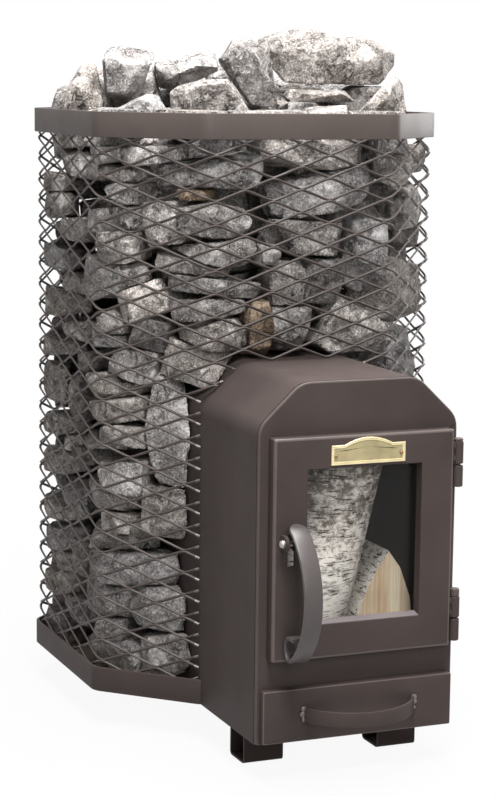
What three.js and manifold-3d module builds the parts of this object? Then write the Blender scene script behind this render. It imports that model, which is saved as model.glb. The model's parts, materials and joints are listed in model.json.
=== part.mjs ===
// Wood-burning sauna heater: a tunnel firebox standing in an octagonal mesh cage full of stones.
// Millimetres, +Z up, floor at z = 0. The door faces -Y, and +X is on the right of someone facing it.
import * as THREE from 'three';
import { mergeVertices } from 'three/addons/utils/BufferGeometryUtils.js';
import Module from 'manifold-3d';

const wasm = await Module();
wasm.setup();

// Clearance between pieces that touch or are welded to each other
const GAP = 0.3;

// Cage: an octagon made of a square with its corners cut off
const CAGE_HALF = 262;
const CAGE_CORNER = 120;
const BAND_HEIGHT = 35;
const BAND_THICKNESS = 4;
const RING_BOTTOM = 50;
const RIM_TOP = 865;
const CAGE_FLOOR_THICKNESS = 4;
const CAGE_FLOOR_LIFT = 4;

// Mesh of the cage: flat panels of long diamonds
const MESH_THICKNESS = 4;
const MESH_STRAND = 5;
const MESH_BORDER = 5;
const MESH_LONG_WAY = 142;
const MESH_SHORT_WAY = 100;
const MESH_TOP_DROP = 5;
const MESH_HOOD_CLEARANCE = 1;
const MESH_LEAST_GAP_AREA = 120;

// Firebox: a bent sheet tunnel with sloping shoulders
const BOX_HALF = 143;
const BOX_SHOULDER = 471;
const BOX_TOP = 527;
const BOX_CROWN_HALF = 84;
const BOX_SHEET = 5;
const BOX_BEND = 15;
const BOX_BEND_STEPS = 5;
const BOX_REACH = 192;
const BOX_BACK = 140;
const FRONT_PLATE_THICKNESS = 6;
const BACK_PLATE_THICKNESS = 5;
const BOX_FLOOR_THICKNESS = 5;

// Openings of the front plate
const DOORWAY_HALF = 118;
const DOORWAY_BOTTOM = 175;
const DOORWAY_TOP = 447;
const DRAWER_WAY_HALF = 124;
const DRAWER_WAY_BOTTOM = 55.5;
const DRAWER_WAY_TOP = 112;

// Hearth, grate and smoke baffle inside the firebox
const HEARTH_BOTTOM = 126;
const HEARTH_THICKNESS = 5;
const GRATE_HALF = 95;
const GRATE_LENGTH = 350;
const GRATE_SETBACK = 60;
const GRATE_THICKNESS = 10;
const GRATE_LAP = 15;
const GRATE_SLOTS = 7;
const GRATE_SLOT_WIDTH = 10;
const GRATE_SLOT_LENGTH = 280;
const BAFFLE_LENGTH = 380;
const BAFFLE_THICKNESS = 6;
const BAFFLE_REAR_HEIGHT = 378;
const BAFFLE_SLOPE = THREE.MathUtils.degToRad(9);

// Flue collar at the back
const FLUE_RADIUS = 57.5;
const FLUE_WALL = 3;
const FLUE_HEIGHT = 452;
const FLUE_REACH = 43;
const FLUE_SIDES = 24;
const FLUE_CLEARANCE = 3;
const FLUE_MESH_RING = 8;

// Feet: short lengths of square tube lying crosswise
const FOOT_SIZE = 50;
const FOOT_WALL = 3;
const FOOT_INNER = 71;
const FOOT_LENGTH = 57;
const FOOT_SETBACK = 73;
const FOOT_REAR_EDGE = 60;

// Door: a folded tray with a window
const DOOR_HALF = 129;
const DOOR_BOTTOM = 164.5;
const DOOR_TOP = 458;
const DOOR_DEPTH = 20;
const DOOR_SHEET = 4;
const DOOR_SEAT = 0.5;
const WINDOW_HALF = 82;
const WINDOW_BOTTOM = 210;
const WINDOW_TOP = 416;
const WINDOW_FLANGE_DEPTH = 16;
const GLASS_THICKNESS = 4;
const GLASS_LAP = 8;
const CLAMP_HALF = 78;
const CLAMP_LEG = 24;
const CLAMP_SHEET = 3;
const SEAL_WIDTH = 6;
const SEAL_DEPTH = 11;

// Plain plate on the door above the window
const PLATE_HALF = 53;
const PLATE_END_HEIGHT = 26;
const PLATE_ARCH_HEIGHT = 35;
const PLATE_ARCH_HALF = 34;
const PLATE_THICKNESS = 2;
const PLATE_BOTTOM = 420;
const PLATE_CENTRE = 3;
const RIVET_RADIUS = 2.6;
const RIVET_DOME = 1.8;
const RIVET_INSET = 6;
const RIVET_RISE = 12;
const RIVET_SIDES = 10;
const PLATE_ARCH_STEPS = 8;

// Door hinges: turned knuckles on a vertical pin
const HINGE_X = 140;
const HINGE_STANDOFF = 10;
const KNUCKLE_RADIUS = 7;
const KNUCKLE_BORE = 3.7;
const PIN_RADIUS = 3;
const HINGE_SIDES = 12;
const HINGE_TAB = 6;
const HINGE_CAP_RADIUS = 6.4;
const HINGE_WELD = 1.5;
// Heights of each hinge: its cap, the knuckle on the door and the knuckle on the front plate below it
const HINGES = [
  { level: 'upper', cap: [440.4, 444], door: [410, 440], frame: [379, 407.5] },
  { level: 'lower', cap: [229.4, 240], door: [201, 229], frame: [169, 199] },
];

// Door handle: a bowed flat bar that rolls into a loop, on a pivot that runs along X
const HANDLE_X = -104;
const HANDLE_WIDTH = 25;
const HANDLE_BAR = 5;
const HANDLE_RADIUS = 100;
const HANDLE_BULGE = 72;
const HANDLE_MIDDLE = 256;
const HANDLE_TOP_ANGLE = 66;
const HANDLE_FOOT_ANGLE = -55;
const HANDLE_LOOP_RADIUS = 12;
const HANDLE_LOOP_SIDE = 6;
const HANDLE_LOOP_END = 14;
const HANDLE_STEPS = 18;
const LOOP_STEPS = 7;
const PIVOT_STANDOFF = 12;
const PIVOT_HEIGHT = 324;
const PIVOT_RADIUS = 3.8;
const PIVOT_BORE = 4.5;
const PIVOT_HEAD_RADIUS = 6;
const PIVOT_SIDES = 10;
const PIVOT_HEAD_LENGTH = 6;
const PIVOT_HEAD_CROWN = 0.7;
const NUT_LENGTH = 5;
const NUT_CLEARANCE = 1;
const LUG_OUTER = -119.5;
const LUG_THICKNESS = 5.5;
const LUG_RADIUS = 10;
const LUG_STEPS = 6;
const LEVER_THICKNESS = 6;
const LEVER_WELD_ANGLES = [63, 50];
const LEVER_EYE_ANGLES = [-10, -90];
const TONGUE_HALF_HEIGHT = 7;
const TONGUE_REACH = 45;
const SLOT_HALF_WIDTH = 5;
const SLOT_BOTTOM = 290;
const SLOT_TOP = 333;
const CATCH_LIFT = 0.8;
const CATCH_HEIGHT = 14;
const CATCH_DEPTH = 8;
const CATCH_INNER = -100;
const CATCH_OUTER = -132;

// Ash drawer
const DRAWER_HALF = 137;
const DRAWER_BOTTOM = 53;
const DRAWER_TOP = 124;
const DRAWER_FRONT_THICKNESS = 12;
const PAN_HALF = 120;
const PAN_TOP = 106;
const PAN_LENGTH = 380;
const PAN_SHEET = 2;
const DRAWER_GRIP_HALF = 79;
const DRAWER_GRIP_BULGE = 48;
const DRAWER_GRIP_BAR = 4;
const DRAWER_GRIP_WIDTH = 20;
const DRAWER_GRIP_HEIGHT = 89;
const DRAWER_GRIP_STEPS = 16;

// Stones: those seen behind the mesh by their place, others by chance, and a heap above the rim
const STONE_GAP = 0.4;
const STONE_BITE = 4;
const STONE_INSET = 4;
const STONE_BOX_ROOM = 2;
const STONE_TOP_ROOM = 70;
const STONE_LEAN = 0.22;
const STONE_SIDE = [0.96, 1.06];
const STONE_CUT = [0.6, 1.3];
const STONE_GROWTH = 1.08;
const STONE_LEAST_DEPTH = 24;
const STONE_LEAST_VOLUME = 20000;
const STONE_TURN = 0.5;
const STONE_PROPORTIONS = [[1.15, 1.35], [0.95, 1.2], [0.8, 1.1]];
const STONE_CLEAR = 0.34;
const STONE_CORE = 0.6;
const STONE_SHOWN_ROOM = 60;
const STONE_FILL = [
  { size: 130, tries: 2600, near: 400 }, { size: 100, tries: 2600, near: 400 },
  { size: 82, tries: 1600, near: 110 }, { size: 72, tries: 2200, near: 55 },
];
const SEED_STEP = 40;
const CHANCE_RATE = 12.9898;
const CHANCE_SCALE = 43758.5453;
const FACE_LEAN = [0.25, 0.62];
const FACE_REACH = [0.82, 1];
const FACE_COUNT = 3;
const EDGE_LEAN = [0.12, 0.55];
// Stones seen behind the mesh: place along the face, height, width, tallness, depth, and turn in degrees
const CORNER_STONES = [
  [-86, 806, 47, 39, 90, 10], [-16, 811, 98, 36, 90, 4], [-60, 767, 86, 50, 95, -18],
  [10, 718, 101, 112, 105, 8], [40, 758, 44, 34, 90, 0], [-72, 692, 64, 74, 100, -5],
  [-38, 611, 118, 106, 110, 20], [30, 654, 92, 58, 95, -10], [-77, 562, 58, 60, 95, 0],
  [-36, 513, 84, 74, 100, -12], [42, 530, 104, 80, 100, -15], [15, 426, 68, 160, 90, 3],
  [-72, 455, 100, 73, 90, 10], [-65, 403, 85, 58, 80, -5], [-58, 345, 84, 86, 95, 6],
  [5, 305, 74, 80, 80, 0], [-55, 288, 64, 50, 70, 0], [-40, 232, 145, 84, 100, 3],
  [-9, 170, 108, 66, 90, -4], [11, 107, 95, 66, 90, 10], [-78, 127, 52, 56, 70, 0],
];
const FRONT_STONES = [
  [-103, 776, 140, 92, 115, 8], [31, 811, 177, 44, 95, -3], [58, 757, 168, 84, 115, 12],
  [-108, 721, 116, 50, 95, -8], [41, 694, 130, 68, 105, -3], [-104, 675, 108, 42, 90, 4],
  [-104, 632, 112, 48, 95, -6], [-36, 672, 28, 26, 50, 0], [-7, 628, 56, 66, 85, 12],
  [49, 631, 73, 76, 95, -6], [1, 571, 68, 72, 95, 0], [-49, 574, 40, 86, 80, 0],
  [-114, 597, 103, 33, 80, 5], [-110, 562, 92, 46, 80, -6], [116, 668, 62, 100, 95, -8],
  [93, 572, 116, 98, 110, -30], [132, 806, 34, 48, 70, 0],
];
const LEFT_STONES = [
  [76, 98, 132, 78, 96, 4], [70, 174, 140, 70, 90, -5], [78, 250, 126, 80, 98, 6],
  [70, 326, 138, 70, 92, -4], [76, 400, 128, 76, 96, 5], [68, 474, 140, 70, 92, -6],
  [78, 548, 124, 76, 98, 4], [70, 624, 138, 74, 94, -5], [76, 700, 128, 76, 96, 6],
  [70, 772, 138, 66, 92, -4], [76, 822, 120, 36, 90, 3], [-70, 106, 144, 92, 94, -4],
  [-74, 196, 132, 84, 98, 6], [-66, 284, 144, 86, 92, -5], [-74, 370, 134, 82, 96, 5],
  [-66, 452, 144, 80, 92, -6], [-74, 534, 132, 82, 98, 5], [-66, 616, 142, 78, 94, -4],
  [-74, 694, 134, 76, 96, 6], [-66, 768, 142, 70, 92, -5], [-74, 822, 126, 36, 90, 4],
];
// Heap stones: place away from the viewer, depth, and outline as places across and heights
const HEAP_BASE = 846;
const VIEW_TURN = THREE.MathUtils.degToRad(22.5);
const HEAP_STONES = [
  {
    name: 'heap_stone_big', away: 20, deep: 124,
    corners: [
      [34, 973], [89, 986], [105, 986], [213, 966], [233, 950], [230, 924], [206, 892], [87, 900], [57, 935],
    ],
  },
  {
    name: 'heap_stone_centre', away: -88, deep: 92,
    corners: [
      [-21, 937], [-2, 967], [28, 971], [48, 947], [69, 912], [77, 866], [70, 846], [36, 846], [-13, 915],
    ],
  },
  {
    name: 'heap_stone_right', away: -56, deep: 96,
    corners: [[182, 870], [232, 925], [246, 904], [252, 868], [250, 846], [182, 846]],
  },
  {
    name: 'heap_stone_slab', away: -160, deep: 84,
    corners: [[-87, 892], [-75, 901], [-44, 909], [0, 911], [31, 872], [30, 846], [-84, 846]],
  },
  {
    name: 'heap_stone_long', away: 20, deep: 120,
    corners: [[-123, 931], [-53, 948], [-21, 954], [-20, 921], [-83, 892], [-112, 896]],
  },
  {
    name: 'heap_stone_tall', away: -34, deep: 92,
    corners: [
      [-192, 932], [-180, 955], [-150, 957], [-111, 951], [-110, 937], [-126, 895], [-144, 870], [-186, 864],
    ],
  },
  {
    name: 'heap_stone_left', away: -36, deep: 104,
    corners: [[-252, 877], [-220, 929], [-192, 934], [-184, 898], [-189, 846], [-250, 846]],
  },
];
const BED_STONES = [
  { away: -60, deep: 90, corners: [[71, 890], [89, 901], [160, 898], [178, 879], [123, 866], [85, 866]] },
  {
    away: -150, deep: 70,
    corners: [[-180, 859], [-121, 889], [-102, 887], [-86, 860], [-88, 846], [-178, 846]],
  },
  { away: -166, deep: 60, corners: [[76, 864], [109, 874], [174, 877], [181, 865], [179, 846], [78, 846]] },
];
// Larger stones at the back of the heap: place across and away, height of the middle, and size
const BED_BACK = [
  [-150, 120, 884, [130, 110, 76]], [0, 158, 888, [140, 110, 84]], [140, 140, 880, [120, 100, 70]],
];
const BED_FILL = [{ size: 92, tries: 900, near: 400 }, { size: 74, tries: 700, near: 400 }];
const BED_HEIGHTS = [860, 874];

// Firewood behind the glass
const LOG_RADIUS = 64;
const LOG_LENGTH = 290;
const LOG_LEAN = THREE.MathUtils.degToRad(13.8);
const LOG_FOOT = new THREE.Vector2(-56, -372);
const SPLIT_LOG_FRONT = -400;
const SPLIT_LOG_LENGTH = 250;
const SPLIT_LOG_APEX = [74, 283];
const SPLIT_LOG_BULGE = [38, 240];
const SPLIT_LOG_SIDE = [[104, 142], [112, 176], [108, 216], [92, 258]];
const SPLIT_LOG_HEEL = [18, 20];
const LOG_STEPS = 8;
const LOG_BARK_ANGLES = [190, 350];
const LOG_SPLIT_ANGLES = [50, 130];
const LOG_SPLIT_STEPS = 2;

// Places worked out from the driving dimensions
const BOX_FRONT = -CAGE_HALF - BOX_REACH;
const PLATE_BACK = BOX_FRONT + FRONT_PLATE_THICKNESS;
const DOOR_FRONT = BOX_FRONT - DOOR_DEPTH;
const HINGE_Y = BOX_FRONT - HINGE_STANDOFF;
const HEARTH_TOP = HEARTH_BOTTOM + HEARTH_THICKNESS;
const GRATE_TOP = HEARTH_TOP + GAP + GRATE_THICKNESS;
const CAGE_FLOOR_BOTTOM = RING_BOTTOM + CAGE_FLOOR_LIFT;
const CAGE_FLOOR_TOP = CAGE_FLOOR_BOTTOM + CAGE_FLOOR_THICKNESS;
const MESH_OUTER = CAGE_HALF - BAND_THICKNESS - GAP;
const STONE_OUTER = MESH_OUTER - MESH_THICKNESS - GAP;
const STONE_BOTTOM = CAGE_FLOOR_TOP + GAP;
const STONE_TOP = HEAP_BASE - GAP;
const FLUE_END = CAGE_HALF + FLUE_REACH;
const REACH_FRONT = DOOR_FRONT - HANDLE_BULGE - HANDLE_BAR / 2;
const FRAME_SHIFT = -(REACH_FRONT + FLUE_END) / 2;

const stove = new THREE.Group();
stove.position.y = FRAME_SHIFT;

// Finishes
const FINISHES = {
  paint: { color: 0x54494a, roughness: 0.62, metalness: 0.25 },
  steel: { color: 0x5a5552, roughness: 0.5, metalness: 0.7 },
  iron: { color: 0x33302e, roughness: 0.75, metalness: 0.5 },
  bolt: { color: 0xb9b6b0, roughness: 0.3, metalness: 0.9 },
  brass: { color: 0xd9c48a, roughness: 0.35, metalness: 0.9 },
  copper: { color: 0xb0704a, roughness: 0.4, metalness: 0.9 },
  glass: { color: 0xdfe6e2, roughness: 0.05, metalness: 0 },
  rope: { color: 0x3b3a38, roughness: 0.95, metalness: 0 },
  stone: { color: 0x8b8a88, roughness: 0.9, metalness: 0 },
  bark: { color: 0xb8aa98, roughness: 0.9, metalness: 0 },
  wood: { color: 0xc9a87c, roughness: 0.8, metalness: 0 },
};

/** Adds a named piece with its own finish to the stove. */
function addPiece(name, geometry, finish) {
  const mesh = new THREE.Mesh(geometry, new THREE.MeshStandardMaterial(FINISHES[finish]));
  mesh.name = name;
  stove.add(mesh);
  return mesh;
}

// Shapes and solids

const point = (x, y) => new THREE.Vector2(x, y);

/** A box between two limits on each axis. */
function block([x0, x1], [y0, y1], [z0, z1]) {
  const geometry = new THREE.BoxGeometry(x1 - x0, y1 - y0, z1 - z0);
  return geometry.translate((x0 + x1) / 2, (y0 + y1) / 2, (z0 + z1) / 2);
}

/** Corners of a rectangle, anticlockwise. */
function rectangle(x0, x1, y0, y1) {
  return [point(x0, y0), point(x1, y0), point(x1, y1), point(x0, y1)];
}

/** Corners of a square with its corners cut off, anticlockwise, drawn in by an inset. */
function octagon(inset = 0) {
  const half = CAGE_HALF - inset;
  const corner = CAGE_CORNER - inset * (2 - Math.SQRT2);
  const near = half - corner;
  return [
    point(half, -near), point(half, near), point(near, half), point(-near, half),
    point(-half, near), point(-half, -near), point(-near, -half), point(near, -half),
  ];
}

/** A shape with holes, each given as corners. */
function outline(corners, holes = []) {
  const shape = new THREE.Shape(corners);
  shape.holes = holes.map((hole) => new THREE.Path(hole));
  return shape;
}

/** Points on an arc between two angles in degrees. */
function arc(cx, cy, radius, from, to, steps) {
  const points = [];
  for (let i = 0; i <= steps; i += 1) {
    const angle = THREE.MathUtils.degToRad(from + ((to - from) * i) / steps);
    points.push(point(cx + radius * Math.cos(angle), cy + radius * Math.sin(angle)));
  }
  return points;
}

/** A line through corners, with each inner corner bent to a round. */
function bent(corners, reach, steps) {
  const line = [corners[0]];
  for (let i = 1; i < corners.length - 1; i += 1) {
    const here = corners[i];
    const start = here.clone().addScaledVector(corners[i - 1].clone().sub(here).normalize(), reach);
    const end = here.clone().addScaledVector(corners[i + 1].clone().sub(here).normalize(), reach);
    line.push(...new THREE.QuadraticBezierCurve(start, here, end).getPoints(steps));
  }
  line.push(corners.at(-1));
  return line;
}

/** Outline of a bar of even thickness that follows a centre line. */
function ribbon(line, thickness) {
  const left = [];
  const right = [];
  line.forEach((here, i) => {
    const before = line[Math.max(i - 1, 0)];
    const after = line[Math.min(i + 1, line.length - 1)];
    const along = after.clone().sub(before).normalize();
    const across = point(-along.y, along.x);
    left.push(here.clone().addScaledVector(across, thickness / 2));
    right.push(here.clone().addScaledVector(across, -thickness / 2));
  });
  return new THREE.Shape([...left, ...right.reverse()]);
}

/** Extrudes a shape drawn in X and Y upwards from a height. */
function lying(shape, bottom, height) {
  return new THREE.ExtrudeGeometry(shape, { depth: height, bevelEnabled: false }).translate(0, 0, bottom);
}

/** Extrudes a shape drawn in X and Z along Y. */
function standing(shape, front, depth) {
  const geometry = new THREE.ExtrudeGeometry(shape, { depth, bevelEnabled: false });
  return geometry.rotateX(Math.PI / 2).translate(0, front + depth, 0);
}

/** Extrudes a shape drawn in Y and Z along X. */
function sideways(shape, left, width) {
  const geometry = new THREE.ExtrudeGeometry(shape, { depth: width, bevelEnabled: false });
  const turn = new THREE.Matrix4();
  turn.makeBasis(new THREE.Vector3(0, 1, 0), new THREE.Vector3(0, 0, 1), new THREE.Vector3(1, 0, 0));
  return geometry.applyMatrix4(turn).translate(left, 0, 0);
}

/** Turns a profile of radius and height pairs about the Z axis. */
function turned(profile, sides) {
  const points = profile.map(([radius, height]) => point(radius, height));
  return new THREE.LatheGeometry(points, sides).rotateX(Math.PI / 2);
}

/** Closed geometry as a solid for joining and cutting. */
function solid(geometry) {
  const bare = geometry.clone();
  bare.deleteAttribute('normal');
  bare.deleteAttribute('uv');
  const merged = mergeVertices(bare);
  return new wasm.Manifold(new wasm.Mesh({
    numProp: 3,
    vertProperties: Float32Array.from(merged.attributes.position.array),
    triVerts: Uint32Array.from(merged.index.array),
  }));
}

/** The largest body of a solid as geometry. */
function geometryOf(body) {
  const largest = body.decompose().reduce((a, b) => (a.volume() > b.volume() ? a : b));
  const mesh = largest.getMesh();
  const geometry = new THREE.BufferGeometry();
  geometry.setAttribute('position', new THREE.BufferAttribute(mesh.vertProperties, 3));
  geometry.setIndex(new THREE.BufferAttribute(mesh.triVerts, 1));
  return geometry;
}

/** Joins a list of geometries into one solid. */
function joined(geometries) {
  return geometries.map(solid).reduce((sum, body) => sum.add(body));
}

// Cage bands, floor and mesh

/** House-shaped corners of the firebox section, drawn outwards by a margin. */
function houseCorners(margin = 0) {
  const side = BOX_HALF + margin;
  const crown = BOX_CROWN_HALF + margin / 2;
  const shoulder = BOX_SHOULDER + margin / 2;
  const top = BOX_TOP + margin;
  return [
    point(-side, RING_BOTTOM), point(-side, shoulder), point(-crown, top),
    point(crown, top), point(side, shoulder), point(side, RING_BOTTOM),
  ];
}

function addCageBands() {
  const band = outline(octagon(), [octagon(BAND_THICKNESS)]);
  addPiece('cage_rim', lying(band, RIM_TOP - BAND_HEIGHT, BAND_HEIGHT), 'paint');
  const doorway = block(
    [-BOX_HALF - GAP, BOX_HALF + GAP],
    [-2 * CAGE_HALF, BOX_BACK + BACK_PLATE_THICKNESS + GAP],
    [0, RIM_TOP],
  );
  const ring = solid(lying(band, RING_BOTTOM, BAND_HEIGHT)).subtract(solid(doorway));
  addPiece('cage_ring', geometryOf(ring), 'paint');
  const floorOutline = outline(octagon(BAND_THICKNESS + GAP));
  const floor = solid(lying(floorOutline, CAGE_FLOOR_BOTTOM, CAGE_FLOOR_THICKNESS));
  addPiece('cage_floor', geometryOf(floor.subtract(solid(doorway))), 'steel');
}

/** Keeps the part of a convex outline on the inner side of a line: normal . p >= offset. */
function clip(corners, { normal, offset }) {
  const kept = [];
  corners.forEach((here, i) => {
    const next = corners[(i + 1) % corners.length];
    const a = normal.dot(here) - offset;
    const b = normal.dot(next) - offset;
    if (a >= 0) kept.push(here);
    if (a * b < 0) kept.push(here.clone().lerp(next, a / (a - b)));
  });
  return kept;
}

/** Diamond gaps of a flat panel of mesh, in whole rows, trimmed at the panel's sides. */
function diamonds(left, right, bottom, top, longWay) {
  const rows = Math.round((top - bottom) / MESH_SHORT_WAY);
  const shortWay = (top - bottom) / rows;
  const slant = Math.hypot(longWay / 2, shortWay / 2);
  const shrink = 1 - (MESH_STRAND * slant) / (longWay * shortWay / 2);
  const columns = Math.ceil(right / longWay);
  const sides = [
    { normal: point(1, 0), offset: left + MESH_BORDER },
    { normal: point(-1, 0), offset: -right + MESH_BORDER },
  ];
  const gaps = [];
  for (let row = 1; row < 2 * rows; row += 1) {
    const z = bottom + (row * shortWay) / 2;
    for (let column = -columns; column <= columns; column += 1) {
      const x = (column + (row % 2) / 2) * longWay;
      const reachX = (longWay / 2) * shrink;
      const reachZ = (shortWay / 2) * shrink;
      const diamond = [
        point(x - reachX, z), point(x, z - reachZ), point(x + reachX, z), point(x, z + reachZ),
      ];
      const gap = sides.reduce(clip, diamond);
      const large = gap.length > 2 && Math.abs(THREE.ShapeUtils.area(gap)) > MESH_LEAST_GAP_AREA;
      if (large) gaps.push(gap);
    }
  }
  return gaps;
}

/** A rectangular panel of mesh in X and Z, its outer face at y = 0. */
function meshPanel(left, right, bottom, top, longWay) {
  const gaps = diamonds(left, right, bottom, top, longWay);
  return standing(outline(rectangle(left, right, bottom, top), gaps), 0, MESH_THICKNESS);
}

/** The front panel ends along the top of the firebox. */
function frontPanel(half, top, longWay) {
  const hood = houseCorners(MESH_HOOD_CLEARANCE).slice(1, 5);
  const slope = (hood[1].y - hood[0].y) / (hood[1].x - hood[0].x);
  const foot = hood[0].y + (BOX_HALF - half) * slope;
  const edge = [point(-half, foot), hood[1], hood[2], point(half, foot)];
  const corners = [...edge, point(half, top), point(-half, top)];
  return standing(outline(corners, diamonds(-half, half, hood[1].y, top, longWay)), 0, MESH_THICKNESS);
}

/** The back panel has a ring of sheet where the flue collar comes through. */
function withFlueRing(panel) {
  const hole = FLUE_RADIUS + FLUE_CLEARANCE;
  const disc = (radius) => {
    const shape = new THREE.Shape(arc(0, FLUE_HEIGHT, radius, 0, 360, FLUE_SIDES).slice(1));
    return solid(standing(shape, 0, MESH_THICKNESS));
  };
  return geometryOf(solid(panel).add(disc(hole + FLUE_MESH_RING)).subtract(disc(hole)));
}

function addMeshPanels() {
  const corners = octagon(BAND_THICKNESS + GAP + MESH_THICKNESS);
  const wide = corners[1].y - GAP;
  const corner = corners[1].distanceTo(corners[2]) / 2 - GAP;
  const beside = corner - Math.SQRT2 * (BOX_HALF + GAP - wide);
  const bottom = CAGE_FLOOR_TOP + GAP;
  const top = RIM_TOP - MESH_TOP_DROP;
  const cornerOut = (2 * CAGE_HALF - CAGE_CORNER) / Math.SQRT2 - (CAGE_HALF - MESH_OUTER);
  const widePanel = meshPanel(-wide, wide, bottom, top, MESH_LONG_WAY);
  const cornerPanel = (left, right) => meshPanel(left, right, bottom, top, 2 * corner);
  const panels = [
    ['back', withFlueRing(widePanel)],
    ['back_left', cornerPanel(-corner, corner)],
    ['left', widePanel],
    ['front_left', cornerPanel(-corner, beside)],
    ['front', frontPanel(wide, top, MESH_LONG_WAY)],
    ['front_right', cornerPanel(-beside, corner)],
    ['right', widePanel.clone()],
    ['back_right', cornerPanel(-corner, corner)],
  ];
  panels.forEach(([face, panel], i) => {
    const mesh = addPiece(`mesh_${face}`, panel, 'steel');
    const out = i % 2 === 1 ? cornerOut : MESH_OUTER;
    mesh.rotation.z = Math.PI * (1 + i / 4);
    mesh.position.set(Math.sin(mesh.rotation.z) * out, -Math.cos(mesh.rotation.z) * out, 0);
  });
}

// Firebox

function addFirebox() {
  const shell = ribbon(bent(houseCorners(-BOX_SHEET / 2), BOX_BEND, BOX_BEND_STEPS), BOX_SHEET);
  const shellFront = PLATE_BACK + GAP;
  addPiece('firebox_shell', standing(shell, shellFront, BOX_BACK - GAP - shellFront), 'paint');

  const face = bent(houseCorners(), BOX_BEND, BOX_BEND_STEPS);
  const doorway = rectangle(-DOORWAY_HALF, DOORWAY_HALF, DOORWAY_BOTTOM, DOORWAY_TOP);
  const drawerWay = rectangle(-DRAWER_WAY_HALF, DRAWER_WAY_HALF, DRAWER_WAY_BOTTOM, DRAWER_WAY_TOP);
  const front = standing(outline(face, [doorway, drawerWay]), BOX_FRONT, FRONT_PLATE_THICKNESS);
  addPiece('firebox_front_plate', front, 'paint');

  const flueHole = arc(0, FLUE_HEIGHT, FLUE_RADIUS - FLUE_WALL, 0, 360, FLUE_SIDES).slice(1);
  const back = standing(outline(face, [flueHole]), BOX_BACK, BACK_PLATE_THICKNESS);
  addPiece('firebox_back_plate', back, 'paint');

  const inside = BOX_HALF - BOX_SHEET - GAP;
  const insideLength = [PLATE_BACK + GAP, BOX_BACK - GAP];
  const floorBottom = RING_BOTTOM + GAP;
  const floor = block([-inside, inside], insideLength, [floorBottom, floorBottom + BOX_FLOOR_THICKNESS]);
  addPiece('firebox_floor', floor, 'steel');

  const grateFront = PLATE_BACK + GRATE_SETBACK;
  const grateBack = grateFront + GRATE_LENGTH;
  const well = rectangle(
    -GRATE_HALF + GRATE_LAP, GRATE_HALF - GRATE_LAP, grateFront + GRATE_LAP, grateBack - GRATE_LAP,
  );
  const hearth = outline(rectangle(-inside, inside, ...insideLength), [well]);
  addPiece('hearth_plate', lying(hearth, HEARTH_BOTTOM, HEARTH_THICKNESS), 'steel');

  const grateDepth = [HEARTH_TOP + GAP, GRATE_TOP];
  const slotDepth = [HEARTH_TOP, GRATE_TOP + GAP];
  const slotPitch = (2 * (GRATE_HALF - GRATE_LAP)) / GRATE_SLOTS;
  const slotMiddle = (grateFront + grateBack) / 2;
  const slotEnds = [slotMiddle - GRATE_SLOT_LENGTH / 2, slotMiddle + GRATE_SLOT_LENGTH / 2];
  let grate = solid(block([-GRATE_HALF, GRATE_HALF], [grateFront, grateBack], grateDepth));
  for (let i = 0; i < GRATE_SLOTS; i += 1) {
    const x = (i - (GRATE_SLOTS - 1) / 2) * slotPitch;
    const slot = block([x - GRATE_SLOT_WIDTH / 2, x + GRATE_SLOT_WIDTH / 2], slotEnds, slotDepth);
    grate = grate.subtract(solid(slot));
  }
  addPiece('fire_grate', geometryOf(grate), 'iron');

  const baffle = block([-inside, inside], [-BAFFLE_LENGTH, 0], [0, BAFFLE_THICKNESS]);
  const plate = addPiece('smoke_baffle', baffle, 'steel');
  plate.rotation.x = -BAFFLE_SLOPE;
  plate.position.set(0, BOX_BACK - BAFFLE_THICKNESS, BAFFLE_REAR_HEIGHT);

  const collarStart = BOX_BACK + BACK_PLATE_THICKNESS + GAP;
  const collar = new THREE.Shape(arc(0, FLUE_HEIGHT, FLUE_RADIUS, 0, 360, FLUE_SIDES).slice(1));
  collar.holes = [new THREE.Path(flueHole)];
  addPiece('flue_collar', standing(collar, collarStart, FLUE_END - collarStart), 'paint');
}

function addFeet() {
  const rows = { front: BOX_FRONT + FOOT_SETBACK, rear: FOOT_REAR_EDGE };
  const sides = { left: -FOOT_INNER - FOOT_LENGTH, right: FOOT_INNER };
  for (const [row, edge] of Object.entries(rows)) {
    const tube = outline(
      rectangle(edge, edge + FOOT_SIZE, 0, FOOT_SIZE),
      [rectangle(edge + FOOT_WALL, edge + FOOT_SIZE - FOOT_WALL, FOOT_WALL, FOOT_SIZE - FOOT_WALL)],
    );
    for (const [side, left] of Object.entries(sides)) {
      addPiece(`foot_${row}_${side}`, sideways(tube, left, FOOT_LENGTH), 'paint');
    }
  }
}

// Door

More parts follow.
